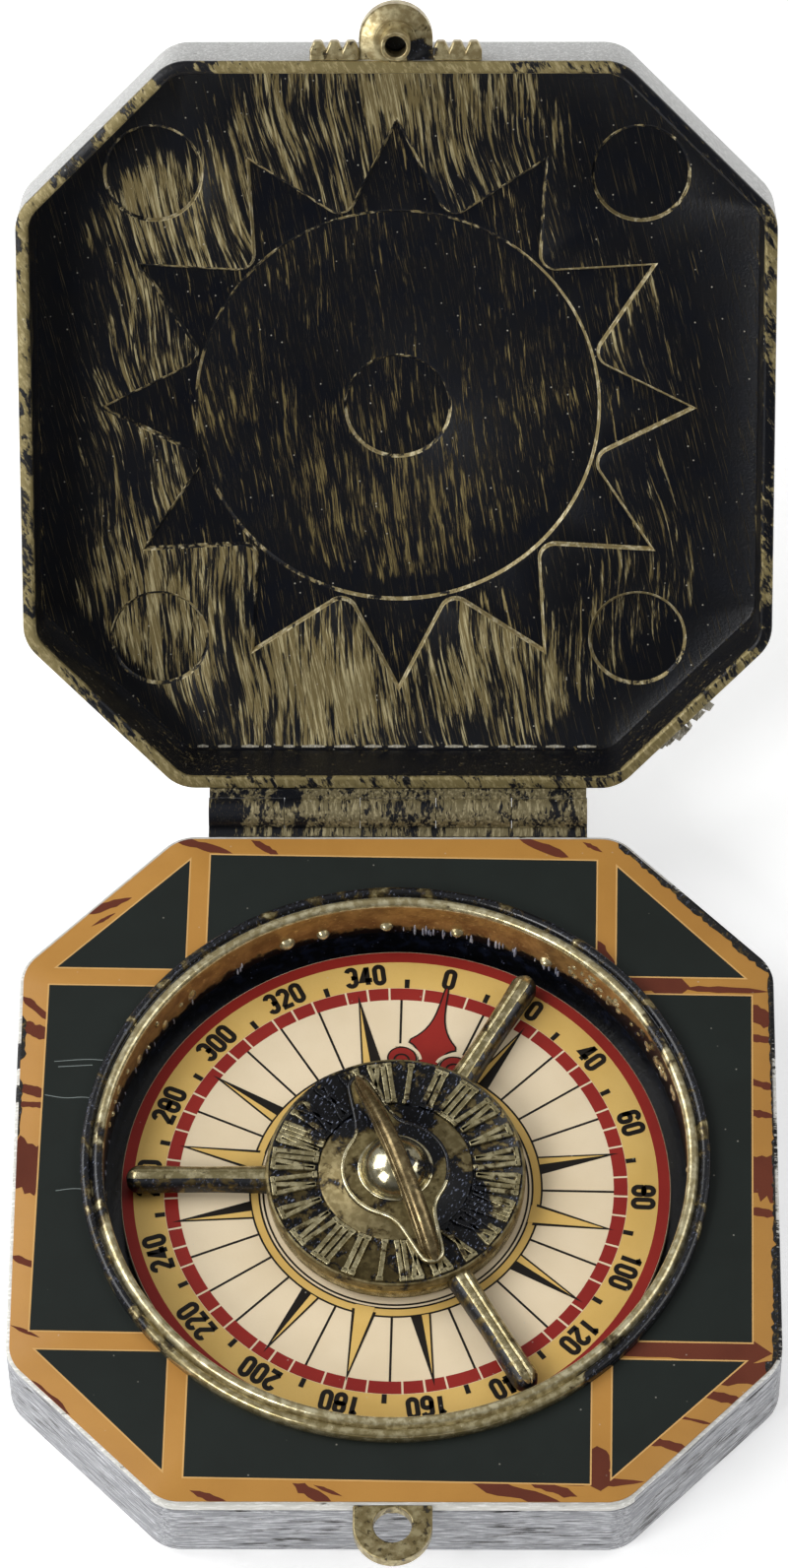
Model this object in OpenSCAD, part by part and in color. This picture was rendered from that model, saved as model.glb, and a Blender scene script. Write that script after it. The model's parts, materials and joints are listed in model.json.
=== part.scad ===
// Octagonal pocket compass sundial: a hinged lid over a case with a turning
// compass card, a three-armed bridge, an hour hub and a swivelling gnomon.
// Millimetres. The origin is the middle of the case's underside, +Y is the
// hinge side and +Z is up. The lid stands open against its stop.

/* [Case] */
// Width of the case and lid across opposite sides
case_w = 75; // [70:0.5:82]
// Height of the case from the underside to the printed face
case_h = 11; // [10.5:0.1:13]
// Half the length of each straight side, before the corners are cut
side_half = 22.15; // [21:0.05:24]
// Rounding radius of the eight corners
corner_r = 4.25; // [3:0.05:6]
// Rounding radius of the bottom edge of the case and the back edge of the lid
edge_r = 1.8; // [1:0.1:2.4]
// Wall thickness of the case tub
case_wall = 1.6; // [1.4:0.05:2]
// Thickness of the case tub's floor
case_floor = 1.4; // [1.2:0.05:1.6]
// Thickness of the deck plate under the printed face
deck_t = 1.3; // [1.2:0.05:1.4]
// Thickness of the printed face label
label_t = 0.1; // [0.1:0.05:0.2]
// Gap between the label's edge and the edge of the deck
label_inset = 0.35; // [0.2:0.05:0.6]

/* [Dial] */
// Inner radius of the bezel and the dial well
well_r = 28.6; // [28:0.1:29]
// Outer radius of the bezel's flange
bezel_r = 30.9; // [30.6:0.1:31.4]
// Height of the bezel's beads above the face
bezel_h = 1.4; // [1:0.05:1.8]
// Radius of the compass card
card_r = 27.15; // [26:0.05:27.5]
// Depth of the card's printed side below the face
card_depth = 5.4; // [5.2:0.05:5.6]
// Thickness of the compass card
card_t = 0.6; // [0.4:0.05:0.6]
// Clockwise turn of the card's zero from the hinge side, in degrees
card_turn = 12.4; // [0:0.1:359]
// Running clearance of the card's bushing on its post, per side
run_clear = 0.05; // [0.03:0.01:0.08]

/* [Bridge and hub] */
// Radius of the hour hub
hub_r = 12.8; // [12:0.1:13]
// Depth of the hour hub's face below the case's face
hub_depth = 2.2; // [2.1:0.05:2.3]
// Radius at which the bridge's arms end
arm_end_r = 26.5; // [25:0.1:26.8]
// Width of each arm
arm_w = 2.6; // [2:0.1:3.2]
// Number of hour marks round the hub
hour_marks = 24; // [12:12:24]

/* [Gnomon] */
// Clockwise turn of the gnomon from the hinge side, in degrees
gnomon_turn = -21; // [-45:1:45]
// Distance from the pivot to each end of the arch
arch_half = 11.2; // [10:0.1:11.2]
// Rise of the arch above the gnomon plate
arch_rise = 4.4; // [4.2:0.1:5]
// Depth of the arch's section at its top
arch_depth = 1.3; // [1.1:0.05:1.3]
// Width of the arch
arch_w = 1.9; // [1.4:0.1:2.2]
// Radius of the polished dome
dome_r = 3.6; // [3.2:0.1:3.8]

/* [Lid] */
// Depth of the lid from its rim to its outer face
lid_d = 10; // [9.6:0.1:11]
// Depth of the lid's hollow
lid_hollow = 8.4; // [8:0.05:8.4]
// Wall thickness of the lid at its rim
lid_wall = 1.3; // [1.2:0.05:1.6]
// Gap between the closed lid's rim and the face
lid_gap = 0.2; // [0.15:0.05:0.3]
// Angle through which the lid is open, from closed
open_angle = 128.8; // [100:0.1:130]
// Number of rays of the sunken sun
ray_count = 12; // [8:1:16]
// Radius of the sun's disc
sun_r = 20.4; // [18:0.1:20.6]
// Radius at the ray tips
ray_r = 29.6; // [26:0.1:30]
// Depth of the sunken sun
sun_depth = 0.5; // [0.3:0.05:0.6]
// Further depth of the sun's disc
disc_depth = 0.3; // [0.2:0.05:0.35]

/* [Hinge] */
// Distance of the hinge axis behind the case
hinge_out = 2.6; // [2.6:0.05:3]
// Length of the hinge
hinge_w = 38; // [30:0.5:42]
// Radius of the knuckles
knuckle_r = 1.5; // [1.4:0.05:1.5]
// Radius of the hinge pin
pin_r = 0.7; // [0.5:0.05:0.8]
// Thickness of the hinge leaves
leaf_t = 1.2; // [1.1:0.05:1.25]

/* [Latch] */
// Distance of the latch's centre in front of the case
latch_out = 2; // [1.8:0.1:2.4]
// Outer radius of the case's eyelet
eyelet_r = 3.8; // [3.6:0.1:4.2]
// Radius of the eyelet's hole
eyelet_hole_r = 1.85; // [1.75:0.05:2]
// Radius of the lid's latch tab
tab_r = 3.6; // [3.4:0.1:4]
// Outer radius of the latch stud
stud_r = 1.45; // [1.3:0.05:1.45]
// Length of the latch stud below the tab's collar
stud_l = 2.4; // [2:0.1:2.6]

/* [Hidden] */
$fn = 96;

eps = 0.01;
half_w = case_w / 2;
cut_d = (half_w + side_half) / sqrt(2);
corner_steps = 5;
edge_steps = 4;

// heights in the case
deck_top = case_h - label_t;
deck_z = deck_top - deck_t;
card_top = case_h - card_depth;
card_z = card_top - card_t;
sleeve_r = well_r + 1.25;
sleeve_z = 7;
well_z = 2;
well_t = 1;
well_floor = well_z + well_t;

// centre post and card bushing
journal_r = 1.5;
journal_top = 6.7;
spigot_r = 1.2;
spigot_top = 7.9;
shoulder_z = 4.4;
bushing_r = 2.8;
bushing_flange_r = 4.2;
magnet = [2.5, 16, 1.1];
magnet_x = 6.2;

// bridge, hub and gnomon
arm_angles = [30, 150, 270];
arm_z = 6.7;
arm_top = case_h - 2.5;
hub_top = case_h - hub_depth;
mark_h = 0.3;
mark_in = 6.6;
mark_out = 11.8;
boss_top = hub_top + mark_h;
plate_z = boss_top + 0.02;
plate_t = 0.48;
plate_top = plate_z + plate_t;
stud_pin_r = 1;

// case fastening
screw_xy = 24.8;
boss_r = 3;
screw_r = 1;
screw_head_r = 2.1;
screw_head_h = 1.2;
head_recess = 0.2;
screw_top = 8;

// hinge, in the case's frame
axis_y = half_w + hinge_out;
axis_z = case_h + lid_gap / 2;
rim_z = case_h + lid_gap;
knuckles = 5;
knuckle_gap = 0.2;
knuckle_l = (hinge_w - (knuckles - 1) * knuckle_gap) / knuckles;
knuckle_clear = 0.15;
tongue_l = 30;
tongue_d = 0.9;
tongue_t = 0.8;
heel_out = 2.4;
heel_t = 1.1;
heel_back = 0.8;
leaf_drop = axis_z - case_h + leaf_t;

// latch, in the case's frame
latch_y = -half_w - latch_out;
eyelet_t = 1.4;
tab_z = rim_z + 0.7;
tab_t = 1.5;
collar_r = 2;
collar_z = case_h + 0.15;
stud_hole_r = 1.05;
tab_tongue_z = tab_z + 0.3;
tongue_overlap = 0.1;
trim_l = 4.8;
trim_d = 1.9;
trim_t = 1.2;
teeth = 3;

// Points of an arc round c, from angle a0 to a1 in n steps
function arc(c, r, a0, a1, n) =
    [for (i = [0:n]) let (a = a0 + (a1 - a0) * i / n) c + r * [cos(a), sin(a)]];

// Outline of the square with cut, rounded corners, drawn in from the edge by inset
function octagon(inset) =
    let (r = max(corner_r - inset, 0.2), d = half_w - inset - r,
        e = sqrt(2) * (cut_d - inset - r) - d)
    [for (k = [0:7])
        let (p = k % 2 == 0 ? [d, e] : [e, d], q = 90 * floor(k / 2),
            c = [p.x * cos(q) - p.y * sin(q), p.x * sin(q) + p.y * cos(q)])
        each arc(c, r, 45 * k, 45 * k + 45, corner_steps)];

// Centre of knuckle i along the hinge
function knuckle_x(i) = (i - (knuckles - 1) / 2) * (knuckle_l + knuckle_gap);

// Moves a shape from the closed lid to where the open lid stands
module lid_pose() {
    translate([0, axis_y, axis_z])
        rotate([-open_angle, 0, 0])
            translate([0, -axis_y, -axis_z])
                children();
}

// Turns a shape clockwise about the vertical, as a compass counts
module clockwise(angle) {
    rotate([0, 0, -angle])
        children();
}

module slab(inset, z0, z1) {
    translate([0, 0, z0])
        linear_extrude(z1 - z0)
            polygon(octagon(inset));
}

// Solid through octagonal rings, each given as [inset, z], from the lowest up
module octagon_loft(rings) {
    outlines = [for (ring = rings) [for (p = octagon(ring[0])) [p.x, p.y, ring[1]]]];
    n = len(outlines[0]);
    top = (len(rings) - 1) * n;
    polyhedron(
        points = [for (outline = outlines) each outline],
        faces = concat(
            [[for (i = [0:n - 1]) i], [for (i = [n - 1:-1:0]) top + i]],
            [for (k = [0:len(rings) - 2], i = [0:n - 1])
                let (j = (i + 1) % n)
                [k * n + i, (k + 1) * n + i, (k + 1) * n + j, k * n + j]]));
}

// Octagonal block of height h, standing on z = 0 with its bottom edge rounded
module soft_block(h) {
    octagon_loft(concat(
        [for (i = [edge_steps:-1:0])
            let (a = 90 * i / edge_steps)
            [edge_r * (1 - cos(a)), edge_r * (1 - sin(a))]],
        [[0, h]]));
}

module tube(r_out, r_in, z0, z1) {
    translate([0, 0, z0])
        difference() {
            cylinder(h = z1 - z0, r = r_out);
            translate([0, 0, -1])
                cylinder(h = z1 - z0 + 2, r = r_in);
        }
}

module disc(r, z0, z1) {
    translate([0, 0, z0])
        cylinder(h = z1 - z0, r = r);
}

module ring_bead(r, bead_r, z) {
    translate([0, 0, z])
        rotate_extrude()
            translate([r, 0])
                circle(r = bead_r, $fn = 32);
}

module at_screws() {
    for (x = [-1, 1], y = [-1, 1])
        translate([x * screw_xy, y * screw_xy, 0])
            children();
}

// Bottom of the case: walls, floor and counterbored screw holes
module case_tub() {
    color("dimgray")
        difference() {
            union() {
                difference() {
                    soft_block(deck_z);
                    slab(case_wall, case_floor, deck_z + 1);
                }
                at_screws()
                    disc(boss_r + 1, case_floor - eps, case_floor + 1.2);
            }
            at_screws() {
                disc(screw_head_r + 0.2, -1, screw_head_h + head_recess);
                disc(screw_r + 0.2, 0, case_floor + 2);
            }
        }
}

// Lid of the case tub: a plate with the dial opening, a locating skirt and screw bosses
module deck_plate() {
    color("darkolivegreen")
        difference() {
            union() {
                slab(0, deck_z, deck_top);
                difference() {
                    slab(case_wall + 0.05, deck_z - 1.5, deck_z + eps);
                    slab(case_wall + 1.05, deck_z - 2, deck_z);
                }
                at_screws()
                    disc(boss_r, case_floor + 1.2, deck_z + eps);
            }
            disc(sleeve_r + 0.05, deck_z - 3, deck_top + 1);
            disc(bezel_r + 0.1, 0, deck_z);
            at_screws()
                disc(screw_r, 0, screw_top + 0.3);
            translate([-tongue_l / 2, half_w - tongue_d, case_h - leaf_t])
                cube([tongue_l, tongue_d + 1, tongue_t]);
            translate([-eyelet_r + 1, -half_w - 1, case_h - leaf_t])
                cube([2 * eyelet_r - 2, tongue_d + 1, tongue_t]);
        }
}

module face_label() {
    color("peru")
        difference() {
            slab(label_inset, deck_top, case_h);
            disc(sleeve_r + 0.05, deck_top - 1, case_h + 1);
        }
}

// Bezel: a flange with an inner and an outer bead, and a sleeve down to the well
module bezel_ring() {
    inner_bead = 0.55;
    outer_bead = 0.5;
    color("goldenrod")
        union() {
            tube(sleeve_r, well_r, sleeve_z, case_h + 0.5);
            tube(bezel_r, well_r + 0.4, case_h, case_h + 0.7);
            ring_bead(well_r + inner_bead, inner_bead, case_h + bezel_h - inner_bead);
            tube(well_r + 2 * inner_bead, well_r, case_h, case_h + bezel_h - inner_bead);
            ring_bead(bezel_r - outer_bead, outer_bead, case_h + bezel_h - outer_bead - 0.1);
        }
}

// Round cup under the deck that the card turns in
module dial_well() {
    color("black")
        difference() {
            union() {
                disc(bezel_r, well_z, well_floor);
                tube(bezel_r, well_r, well_z, sleeve_z);
                tube(bezel_r, sleeve_r + 0.05, well_z, deck_z);
            }
            disc(spigot_r, 0, well_floor + 1);
        }
}

// Post riveted through the well's floor: journal for the card, spigot for the bridge
module centre_post() {
    rivet_z = case_floor + 0.05;
    color("gold")
        rotate_extrude()
            polygon([[0, rivet_z], [2.2, rivet_z], [2.2, well_z], [spigot_r, well_z],
                [spigot_r, well_floor], [4.5, well_floor], [4.5, 3.8], [2.4, 3.8],
                [2.4, shoulder_z], [journal_r, shoulder_z], [journal_r, journal_top],
                [spigot_r, journal_top], [spigot_r, spigot_top], [0, spigot_top]]);
}

// Three arms on a round body that sits on the post
module bridge_arms() {
    body_r = hub_r - 0.1;
    color("darkkhaki")
        difference() {
            union() {
                disc(body_r, arm_z, spigot_top);
                tube(body_r, body_r - 1.1, arm_z - 0.5, arm_z + eps);
                for (a = arm_angles)
                    clockwise(a)
                        intersection() {
                            union() {
                                translate([-arm_w / 2, hub_r - 0.4, arm_z])
                                    cube([arm_w, arm_end_r - hub_r + 0.4 - arm_w / 2, arm_top - arm_z]);
                                translate([0, arm_end_r - arm_w / 2, arm_z])
                                    cylinder(h = arm_top - arm_z, r = arm_w / 2);
                            }
                            translate([0, 0, arm_top - 2])
                                rotate([-90, 0, 0])
                                    cylinder(h = arm_end_r + 1, r = 2);
                        }
            }
            tube(hub_r + 0.05, 4, spigot_top, arm_top + 1);
            disc(spigot_r, 0, spigot_top + 1);
        }
}

// Hour dial on top of the bridge
module hour_hub() {
    mark_w = 0.55;
    color("olive")
        difference() {
            union() {
                disc(hub_r, spigot_top, hub_top);
                tube(hub_r, hub_r - 0.5, hub_top - eps, hub_top + 0.2);
                disc(5.4, hub_top - eps, boss_top);
                for (i = [0:hour_marks - 1])
                    rotate([0, 0, 360 * i / hour_marks])
                        translate([mark_in, -mark_w / 2, hub_top - eps])
                            cube([mark_out - mark_in, mark_w, mark_h + eps]);
            }
            disc(stud_pin_r, 0, boss_top + 1);
        }
}

// Pivot stud of the gnomon, with a polished dome as its head
module gnomon_dome() {
    dome_z = plate_top + 0.02;
    dome_h = 2.6;
    sphere_r = (dome_r * dome_r + dome_h * dome_h) / (2 * dome_h);
    color("gold")
        union() {
            disc(stud_pin_r, spigot_top, dome_z + eps);
            intersection() {
                translate([0, 0, dome_z + dome_h - sphere_r])
                    sphere(r = sphere_r);
                disc(dome_r + 1, dome_z, dome_z + dome_h + 1);
            }
        }
}

module at_knuckles(first) {
    for (i = [first:2:knuckles - 1])
        translate([knuckle_x(i), axis_y, axis_z])
            rotate([0, 90, 0])
                translate([0, 0, -knuckle_l / 2])
                    children();
}

// Room in a leaf standing on z for the other leaf's knuckles, a little wider than their gaps
module knuckle_slots(first, z) {
    slot_l = knuckle_l + 2 * knuckle_gap + 0.1;
    slot_d = knuckle_r + knuckle_clear;
    for (i = [first:2:knuckles - 1])
        translate([knuckle_x(i) - slot_l / 2, axis_y - slot_d, z - 1])
            cube([slot_l, slot_d + 1, leaf_t + 2]);
}

// Case half of the hinge: a leaf with its tongue in the deck plate, and the outer knuckles
module case_hinge_leaf() {
    color("darkkhaki")
        difference() {
            union() {
                translate([-hinge_w / 2, half_w, case_h - leaf_t])
                    cube([hinge_w, hinge_out, leaf_t]);
                translate([-tongue_l / 2, half_w - tongue_d, case_h - leaf_t])
                    cube([tongue_l, tongue_d + tongue_overlap, tongue_t]);
                at_knuckles(0)
                    cylinder(h = knuckle_l, r = knuckle_r);
            }
            knuckle_slots(1, case_h - leaf_t);
            at_knuckles(0)
                translate([0, 0, -1])
                    cylinder(h = knuckle_l + 2, r = pin_r);
        }
}

module hinge_pin() {
    color("silver")
        translate([-hinge_w / 2, axis_y, axis_z])
            rotate([0, 90, 0])
                cylinder(h = hinge_w, r = pin_r);
}

// Half-round lug on the front of the case, with a round hole for the latch stud
module latch_eyelet() {
    color("darkkhaki")
        union() {
            difference() {
                union() {
                    translate([0, latch_y, deck_top - eyelet_t])
                        cylinder(h = eyelet_t, r = eyelet_r);
                    translate([-eyelet_r, latch_y, deck_top - eyelet_t])
                        cube([2 * eyelet_r, latch_out, eyelet_t]);
                }
                translate([0, latch_y, 0])
                    cylinder(h = case_h + 1, r = eyelet_hole_r);
                translate([-half_w, -half_w, 0])
                    cube([case_w, half_w, case_h]);
            }
            translate([-eyelet_r + 1, -half_w - tongue_overlap, case_h - leaf_t])
                cube([2 * eyelet_r - 2, tongue_d + tongue_overlap, tongue_t]);
        }
}

module case_screws() {
    slot_w = 0.5;
    color("silver")
        at_screws()
            difference() {
                union() {
                    disc(screw_head_r, head_recess, head_recess + screw_head_h);
                    disc(screw_r, head_recess + 0.5, screw_top);
                }
                for (a = [0, 90])
                    rotate([0, 0, a])
                        translate([-1.4, -slot_w / 2, 0])
                            cube([2.8, slot_w, head_recess + 0.6]);
            }
}

module compass_card() {
    color("wheat")
        tube(card_r, bushing_r, card_z, card_top);
}

// Brass bushing under the card's centre, turning on the post
module card_bushing() {
    color("gold")
        difference() {
            union() {
                disc(bushing_flange_r, shoulder_z, card_z);
                disc(bushing_r, shoulder_z, journal_top - 0.1);
            }
            disc(journal_r + run_clear, 0, case_h);
        }
}

// Two bar magnets under the card, along its zero line
module card_magnets() {
    color("dimgray")
        clockwise(card_turn)
            for (x = [-1, 1])
                translate([x * magnet_x - magnet.x / 2, -magnet.y / 2, card_z - magnet.z])
                    cube(magnet);
}

// Swivelling plate under the arch: a disc with a lobe at each end
module gnomon_plate() {
    disc_r = 5.4;
    lobe_r = 1.6;
    lobe_y = arch_half - 1.4;
    color("olive")
        clockwise(gnomon_turn)
            difference() {
                union() {
                    disc(disc_r, plate_z, plate_top);
                    translate([-lobe_r, -lobe_y, plate_z])
                        cube([2 * lobe_r, 2 * lobe_y, plate_t]);
                    for (y = [-lobe_y, lobe_y])
                        translate([0, y, 0])
                            disc(lobe_r, plate_z, plate_top);
                }
                disc(stud_pin_r + run_clear, 0, case_h + 1);
            }
}

// Arched gnomon: a crescent standing on the plate, over the dome
module gnomon_arch() {
    outer_r = (arch_half * arch_half + arch_rise * arch_rise) / (2 * arch_rise);
    inner_half = arch_half - 2.2;
    inner_rise = arch_rise - arch_depth;
    inner_r = (inner_half * inner_half + inner_rise * inner_rise) / (2 * inner_rise);
    color("darkkhaki")
        clockwise(gnomon_turn)
            translate([0, 0, plate_top])
                rotate([90, 0, 90])
                    translate([0, 0, -arch_w / 2])
                        linear_extrude(arch_w)
                            intersection() {
                                difference() {
                                    translate([0, arch_rise - outer_r])
                                        circle(r = outer_r, $fn = 180);
                                    translate([0, inner_rise - inner_r])
                                        circle(r = inner_r, $fn = 180);
                                }
                                translate([-arch_half, 0])
                                    square([2 * arch_half, arch_rise + 1]);
                            }
}

// Outline of the sun: straight-sided rays with rounded valleys between them
function sun_outline() =
    let (step = 360 / ray_count, fillet = 1.6, valley_r = sun_r + 0.4 + fillet, tip = [ray_r, 0],
        c = valley_r * [cos(step / 2), sin(step / 2)], d = tip - c,
        turn = atan2(d.y, d.x) - acos(fillet / norm(d)), mid = 180 + step / 2)
    [for (k = [0:ray_count - 1])
        let (q = step * k, m = [[cos(q), -sin(q)], [sin(q), cos(q)]])
        each concat([m * tip],
            [for (p = arc(c, fillet, turn + 360, 2 * mid - turn - 360, 4)) m * p])];

// Lid: a rounded octagonal shell with the sun and five discs sunk in its floor
module lid_shell() {
    floor_z = rim_z + lid_hollow;
    mark_depth = 0.3;
    small_disc_r = 5.25;
    corner_disc_r = 4.8;
    corner_disc_xy = 24.2;
    color("darkslategray")
        lid_pose()
            difference() {
                translate([0, 0, rim_z + lid_d])
                    mirror([0, 0, 1])
                        soft_block(lid_d);
                slab(lid_wall, rim_z - 1, floor_z);
                translate([0, 0, floor_z - eps])
                    linear_extrude(sun_depth + eps)
                        rotate(90)
                            polygon(sun_outline());
                disc(sun_r, floor_z, floor_z + sun_depth + disc_depth);
                disc(small_disc_r, floor_z, floor_z + sun_depth + disc_depth + mark_depth);
                for (x = [-1, 1], y = [-1, 1])
                    translate([x * corner_disc_xy, y * corner_disc_xy, 0])
                        disc(corner_disc_r, floor_z - eps, floor_z + mark_depth);
                translate([-tongue_l / 2, half_w - tongue_d, rim_z + leaf_t - tongue_t])
                    cube([tongue_l, tongue_d + 1, tongue_t]);
                translate([-tab_r + 1, -half_w - 1, tab_tongue_z])
                    cube([2 * tab_r - 2, tongue_d + 1, tongue_t]);
            }
}

// Lid half of the hinge: a leaf, the inner knuckles and the heels that stop the lid
module lid_hinge_leaf() {
    heel_l = knuckle_l - 1;
    color("darkkhaki")
        difference() {
            union() {
                lid_pose()
                    difference() {
                        union() {
                            translate([-hinge_w / 2, half_w, rim_z])
                                cube([hinge_w, hinge_out, leaf_t]);
                            translate([-tongue_l / 2, half_w - tongue_d, rim_z + leaf_t - tongue_t])
                                cube([tongue_l, tongue_d + tongue_overlap, tongue_t]);
                        }
                        knuckle_slots(0, rim_z);
                    }
                at_knuckles(1)
                    cylinder(h = knuckle_l, r = knuckle_r);
                for (i = [1:2:knuckles - 1])
                    translate([knuckle_x(i) - heel_l / 2, axis_y - heel_out, axis_z - leaf_drop - heel_t])
                        cube([heel_l, heel_out + heel_back, heel_t]);
            }
            at_knuckles(1)
                translate([0, 0, -1])
                    cylinder(h = knuckle_l + 2, r = pin_r + run_clear);
        }
}

// Half-round tab on the lid's front rim, with a collar round the stud
module latch_tab() {
    slope = 0.45;
    color("darkkhaki")
        lid_pose()
            union() {
                difference() {
                    translate([0, latch_y, 0])
                        union() {
                            disc(tab_r, tab_z, tab_z + tab_t);
                            translate([-tab_r, 0, tab_z])
                                cube([2 * tab_r, latch_out, tab_t]);
                            translate([0, 0, tab_z - slope])
                                cylinder(h = slope + eps, r1 = collar_r + 0.3, r2 = tab_r - 0.2);
                            disc(collar_r, collar_z, tab_z);
                        }
                    translate([0, latch_y, 0])
                        disc(stud_r, 0, tab_z + tab_t - 0.3);
                    translate([-half_w, -half_w, 0])
                        cube([case_w, half_w, 2 * case_h]);
                }
                translate([-tab_r + 1, -half_w - tongue_overlap, tab_tongue_z])
                    cube([2 * tab_r - 2, tongue_d + tongue_overlap, tongue_t]);
            }
}

// Hollow stud that enters the eyelet when the lid is shut
module latch_stud() {
    stud_top = tab_z + tab_t - 0.3;
    color("khaki")
        lid_pose()
            translate([0, latch_y, 0])
                difference() {
                    disc(stud_r, collar_z - stud_l, stud_top);
                    disc(stud_hole_r, 0, stud_top - 0.8);
                }
}

// Toothed trims on the rim, one on each side of the tab
module latch_trims() {
    pitch = trim_l / teeth;
    color("khaki")
        lid_pose()
            for (s = [-1, 1])
                translate([s > 0 ? tab_r : -tab_r - trim_l, -half_w, rim_z + 0.2])
                    mirror([0, 1, 0])
                        linear_extrude(trim_t)
                            polygon(concat([[0, 0], [0, trim_d - 0.9]],
                                [for (i = [0:teeth - 1]) each [[(i + 0.25) * pitch, trim_d],
                                    [(i + 0.75) * pitch, trim_d], [(i + 1) * pitch, trim_d - 0.9]]],
                                [[trim_l, 0]]));
}

case_tub();
deck_plate();
face_label();
bezel_ring();
dial_well();
centre_post();
bridge_arms();
hour_hub();
gnomon_dome();
case_hinge_leaf();
hinge_pin();
latch_eyelet();
case_screws();
compass_card();
card_bushing();
card_magnets();
gnomon_plate();
gnomon_arch();
lid_shell();
lid_hinge_leaf();
latch_tab();
latch_stud();
latch_trims();
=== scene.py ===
"""Looks of an octagonal pocket compass sundial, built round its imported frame.

Shapes are worked out in millimetres and stored in metres. The lid's pieces are drawn as in the shut
lid and then swung open about the hinge; the card's and the gnomon's are drawn unturned.
"""
import json
import math
import random

import bmesh
import bpy
from mathutils import Matrix, Vector
from mathutils.geometry import delaunay_2d_cdt


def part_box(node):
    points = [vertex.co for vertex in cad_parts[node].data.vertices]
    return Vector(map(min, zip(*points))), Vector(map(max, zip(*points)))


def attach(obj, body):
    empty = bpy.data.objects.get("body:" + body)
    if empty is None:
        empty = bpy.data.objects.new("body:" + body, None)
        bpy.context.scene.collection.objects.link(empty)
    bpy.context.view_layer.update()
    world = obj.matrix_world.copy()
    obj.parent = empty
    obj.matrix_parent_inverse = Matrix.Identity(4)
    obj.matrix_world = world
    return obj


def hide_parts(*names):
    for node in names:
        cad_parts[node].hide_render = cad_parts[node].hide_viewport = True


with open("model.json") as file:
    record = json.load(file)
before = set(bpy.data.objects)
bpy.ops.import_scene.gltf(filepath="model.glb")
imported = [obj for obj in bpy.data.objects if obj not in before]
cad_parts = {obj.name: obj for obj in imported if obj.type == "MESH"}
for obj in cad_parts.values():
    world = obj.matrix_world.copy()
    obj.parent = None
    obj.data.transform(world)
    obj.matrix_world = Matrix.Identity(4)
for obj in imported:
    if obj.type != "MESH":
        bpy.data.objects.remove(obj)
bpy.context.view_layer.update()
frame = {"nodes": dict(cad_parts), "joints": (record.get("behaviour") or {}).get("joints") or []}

# ---------------------------------------------------------------- sizes, in millimetres
MM = 0.001


def corners(node):
    """Lowest and highest corner of a CAD node, in millimetres."""
    low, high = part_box(node)
    return low / MM, high / MM


HALF = corners("case_tub")[1].x
TUB_TOP = corners("case_tub")[1].z
DECK_TOP = corners("deck_plate")[1].z
FACE = corners("face_label")[1].z
LABEL_EDGE = HALF - corners("face_label")[1].x
SIDE_HALF = 22.15
CORNER_R = 4.25
EDGE_R = 1.8
WALL = 1.6
FLOOR = 1.4
CUT = (HALF + SIDE_HALF) / math.sqrt(2)

BEZEL_R = corners("bezel_ring")[1].x
BEZEL_TOP = corners("bezel_ring")[1].z
SLEEVE_Z = corners("bezel_ring")[0].z
WELL_R = 28.6
SLEEVE_R = WELL_R + 1.25

CARD_R = corners("compass_card")[1].x
CARD_LOW = corners("compass_card")[0].z
CARD_TOP = corners("compass_card")[1].z
CARD_TURN = 12.4
INK = 0.012

BRIDGE_LOW, BRIDGE_HIGH = corners("bridge_arms")[0].z, corners("bridge_arms")[1].z
HUB_R = corners("hour_hub")[1].x
HUB_LOW = corners("hour_hub")[0].z
HUB_FACE = FACE - 2.2
HUB_TOP = corners("hour_hub")[1].z
ARM_ANGLES = (30, 150, 270)
ARM_END = 26.5
ARM_W = 2.6

PLATE_LOW, PLATE_HIGH = corners("gnomon_plate")[0].z, corners("gnomon_plate")[1].z
DOME_LOW, DOME_HIGH = PLATE_HIGH + 0.02, corners("gnomon_dome")[1].z
ARCH_HIGH = corners("gnomon_arch")[1].z
ARCH_HALF = 11.2
GNOMON_TURN = -21

HINGE = next(joint for joint in frame["joints"] if joint["name"] == "lid_hinge")
AXIS = Vector(HINGE["pos_m"])
OPEN = math.radians(HINGE["range_deg"][1])
LID_PLACE = Matrix.Translation(AXIS) @ Matrix.Rotation(-OPEN, 4, "X") @ Matrix.Translation(-AXIS)
KNUCKLE, KNUCKLE_R, KNUCKLE_STEP = 7.44, 1.5, 7.64
SWELL_LONG, SWELL_R = 0.07, 0.12
RIM = AXIS.z / MM + 0.1
LID_DEEP = 10
LID_FLOOR = RIM + 8.4
LID_WALL = 1.3
SUN_R, RAY_R, RAYS = 20.4, 29.6, 12
SUN_DEEP, DISC_DEEP = 0.5, 0.3


# ---------------------------------------------------------------- outlines
def polar(r, compass, z=None):
    """Point at a radius and a compass angle, clockwise from the hinge side."""
    a = math.radians(compass)
    point = (r * math.sin(a), r * math.cos(a))
    return point if z is None else (*point, z)


def circle(r, count=192, centre=(0, 0)):
    return [(centre[0] + r * math.cos(2 * math.pi * i / count),
             centre[1] + r * math.sin(2 * math.pi * i / count)) for i in range(count)]


def four(d):
    """Four places in a square, each d away from the centre along x and y."""
    return [(x, y) for x in (-d, d) for y in (-d, d)]


def eased():
    """Quarter of a rounded edge: how far each point is drawn in, and how far it is from the end."""
    arcs = [math.radians(90 * i / 8) for i in range(9)]
    return [(EDGE_R * (1 - math.sin(a)), EDGE_R * (1 - math.cos(a))) for a in arcs]


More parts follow.
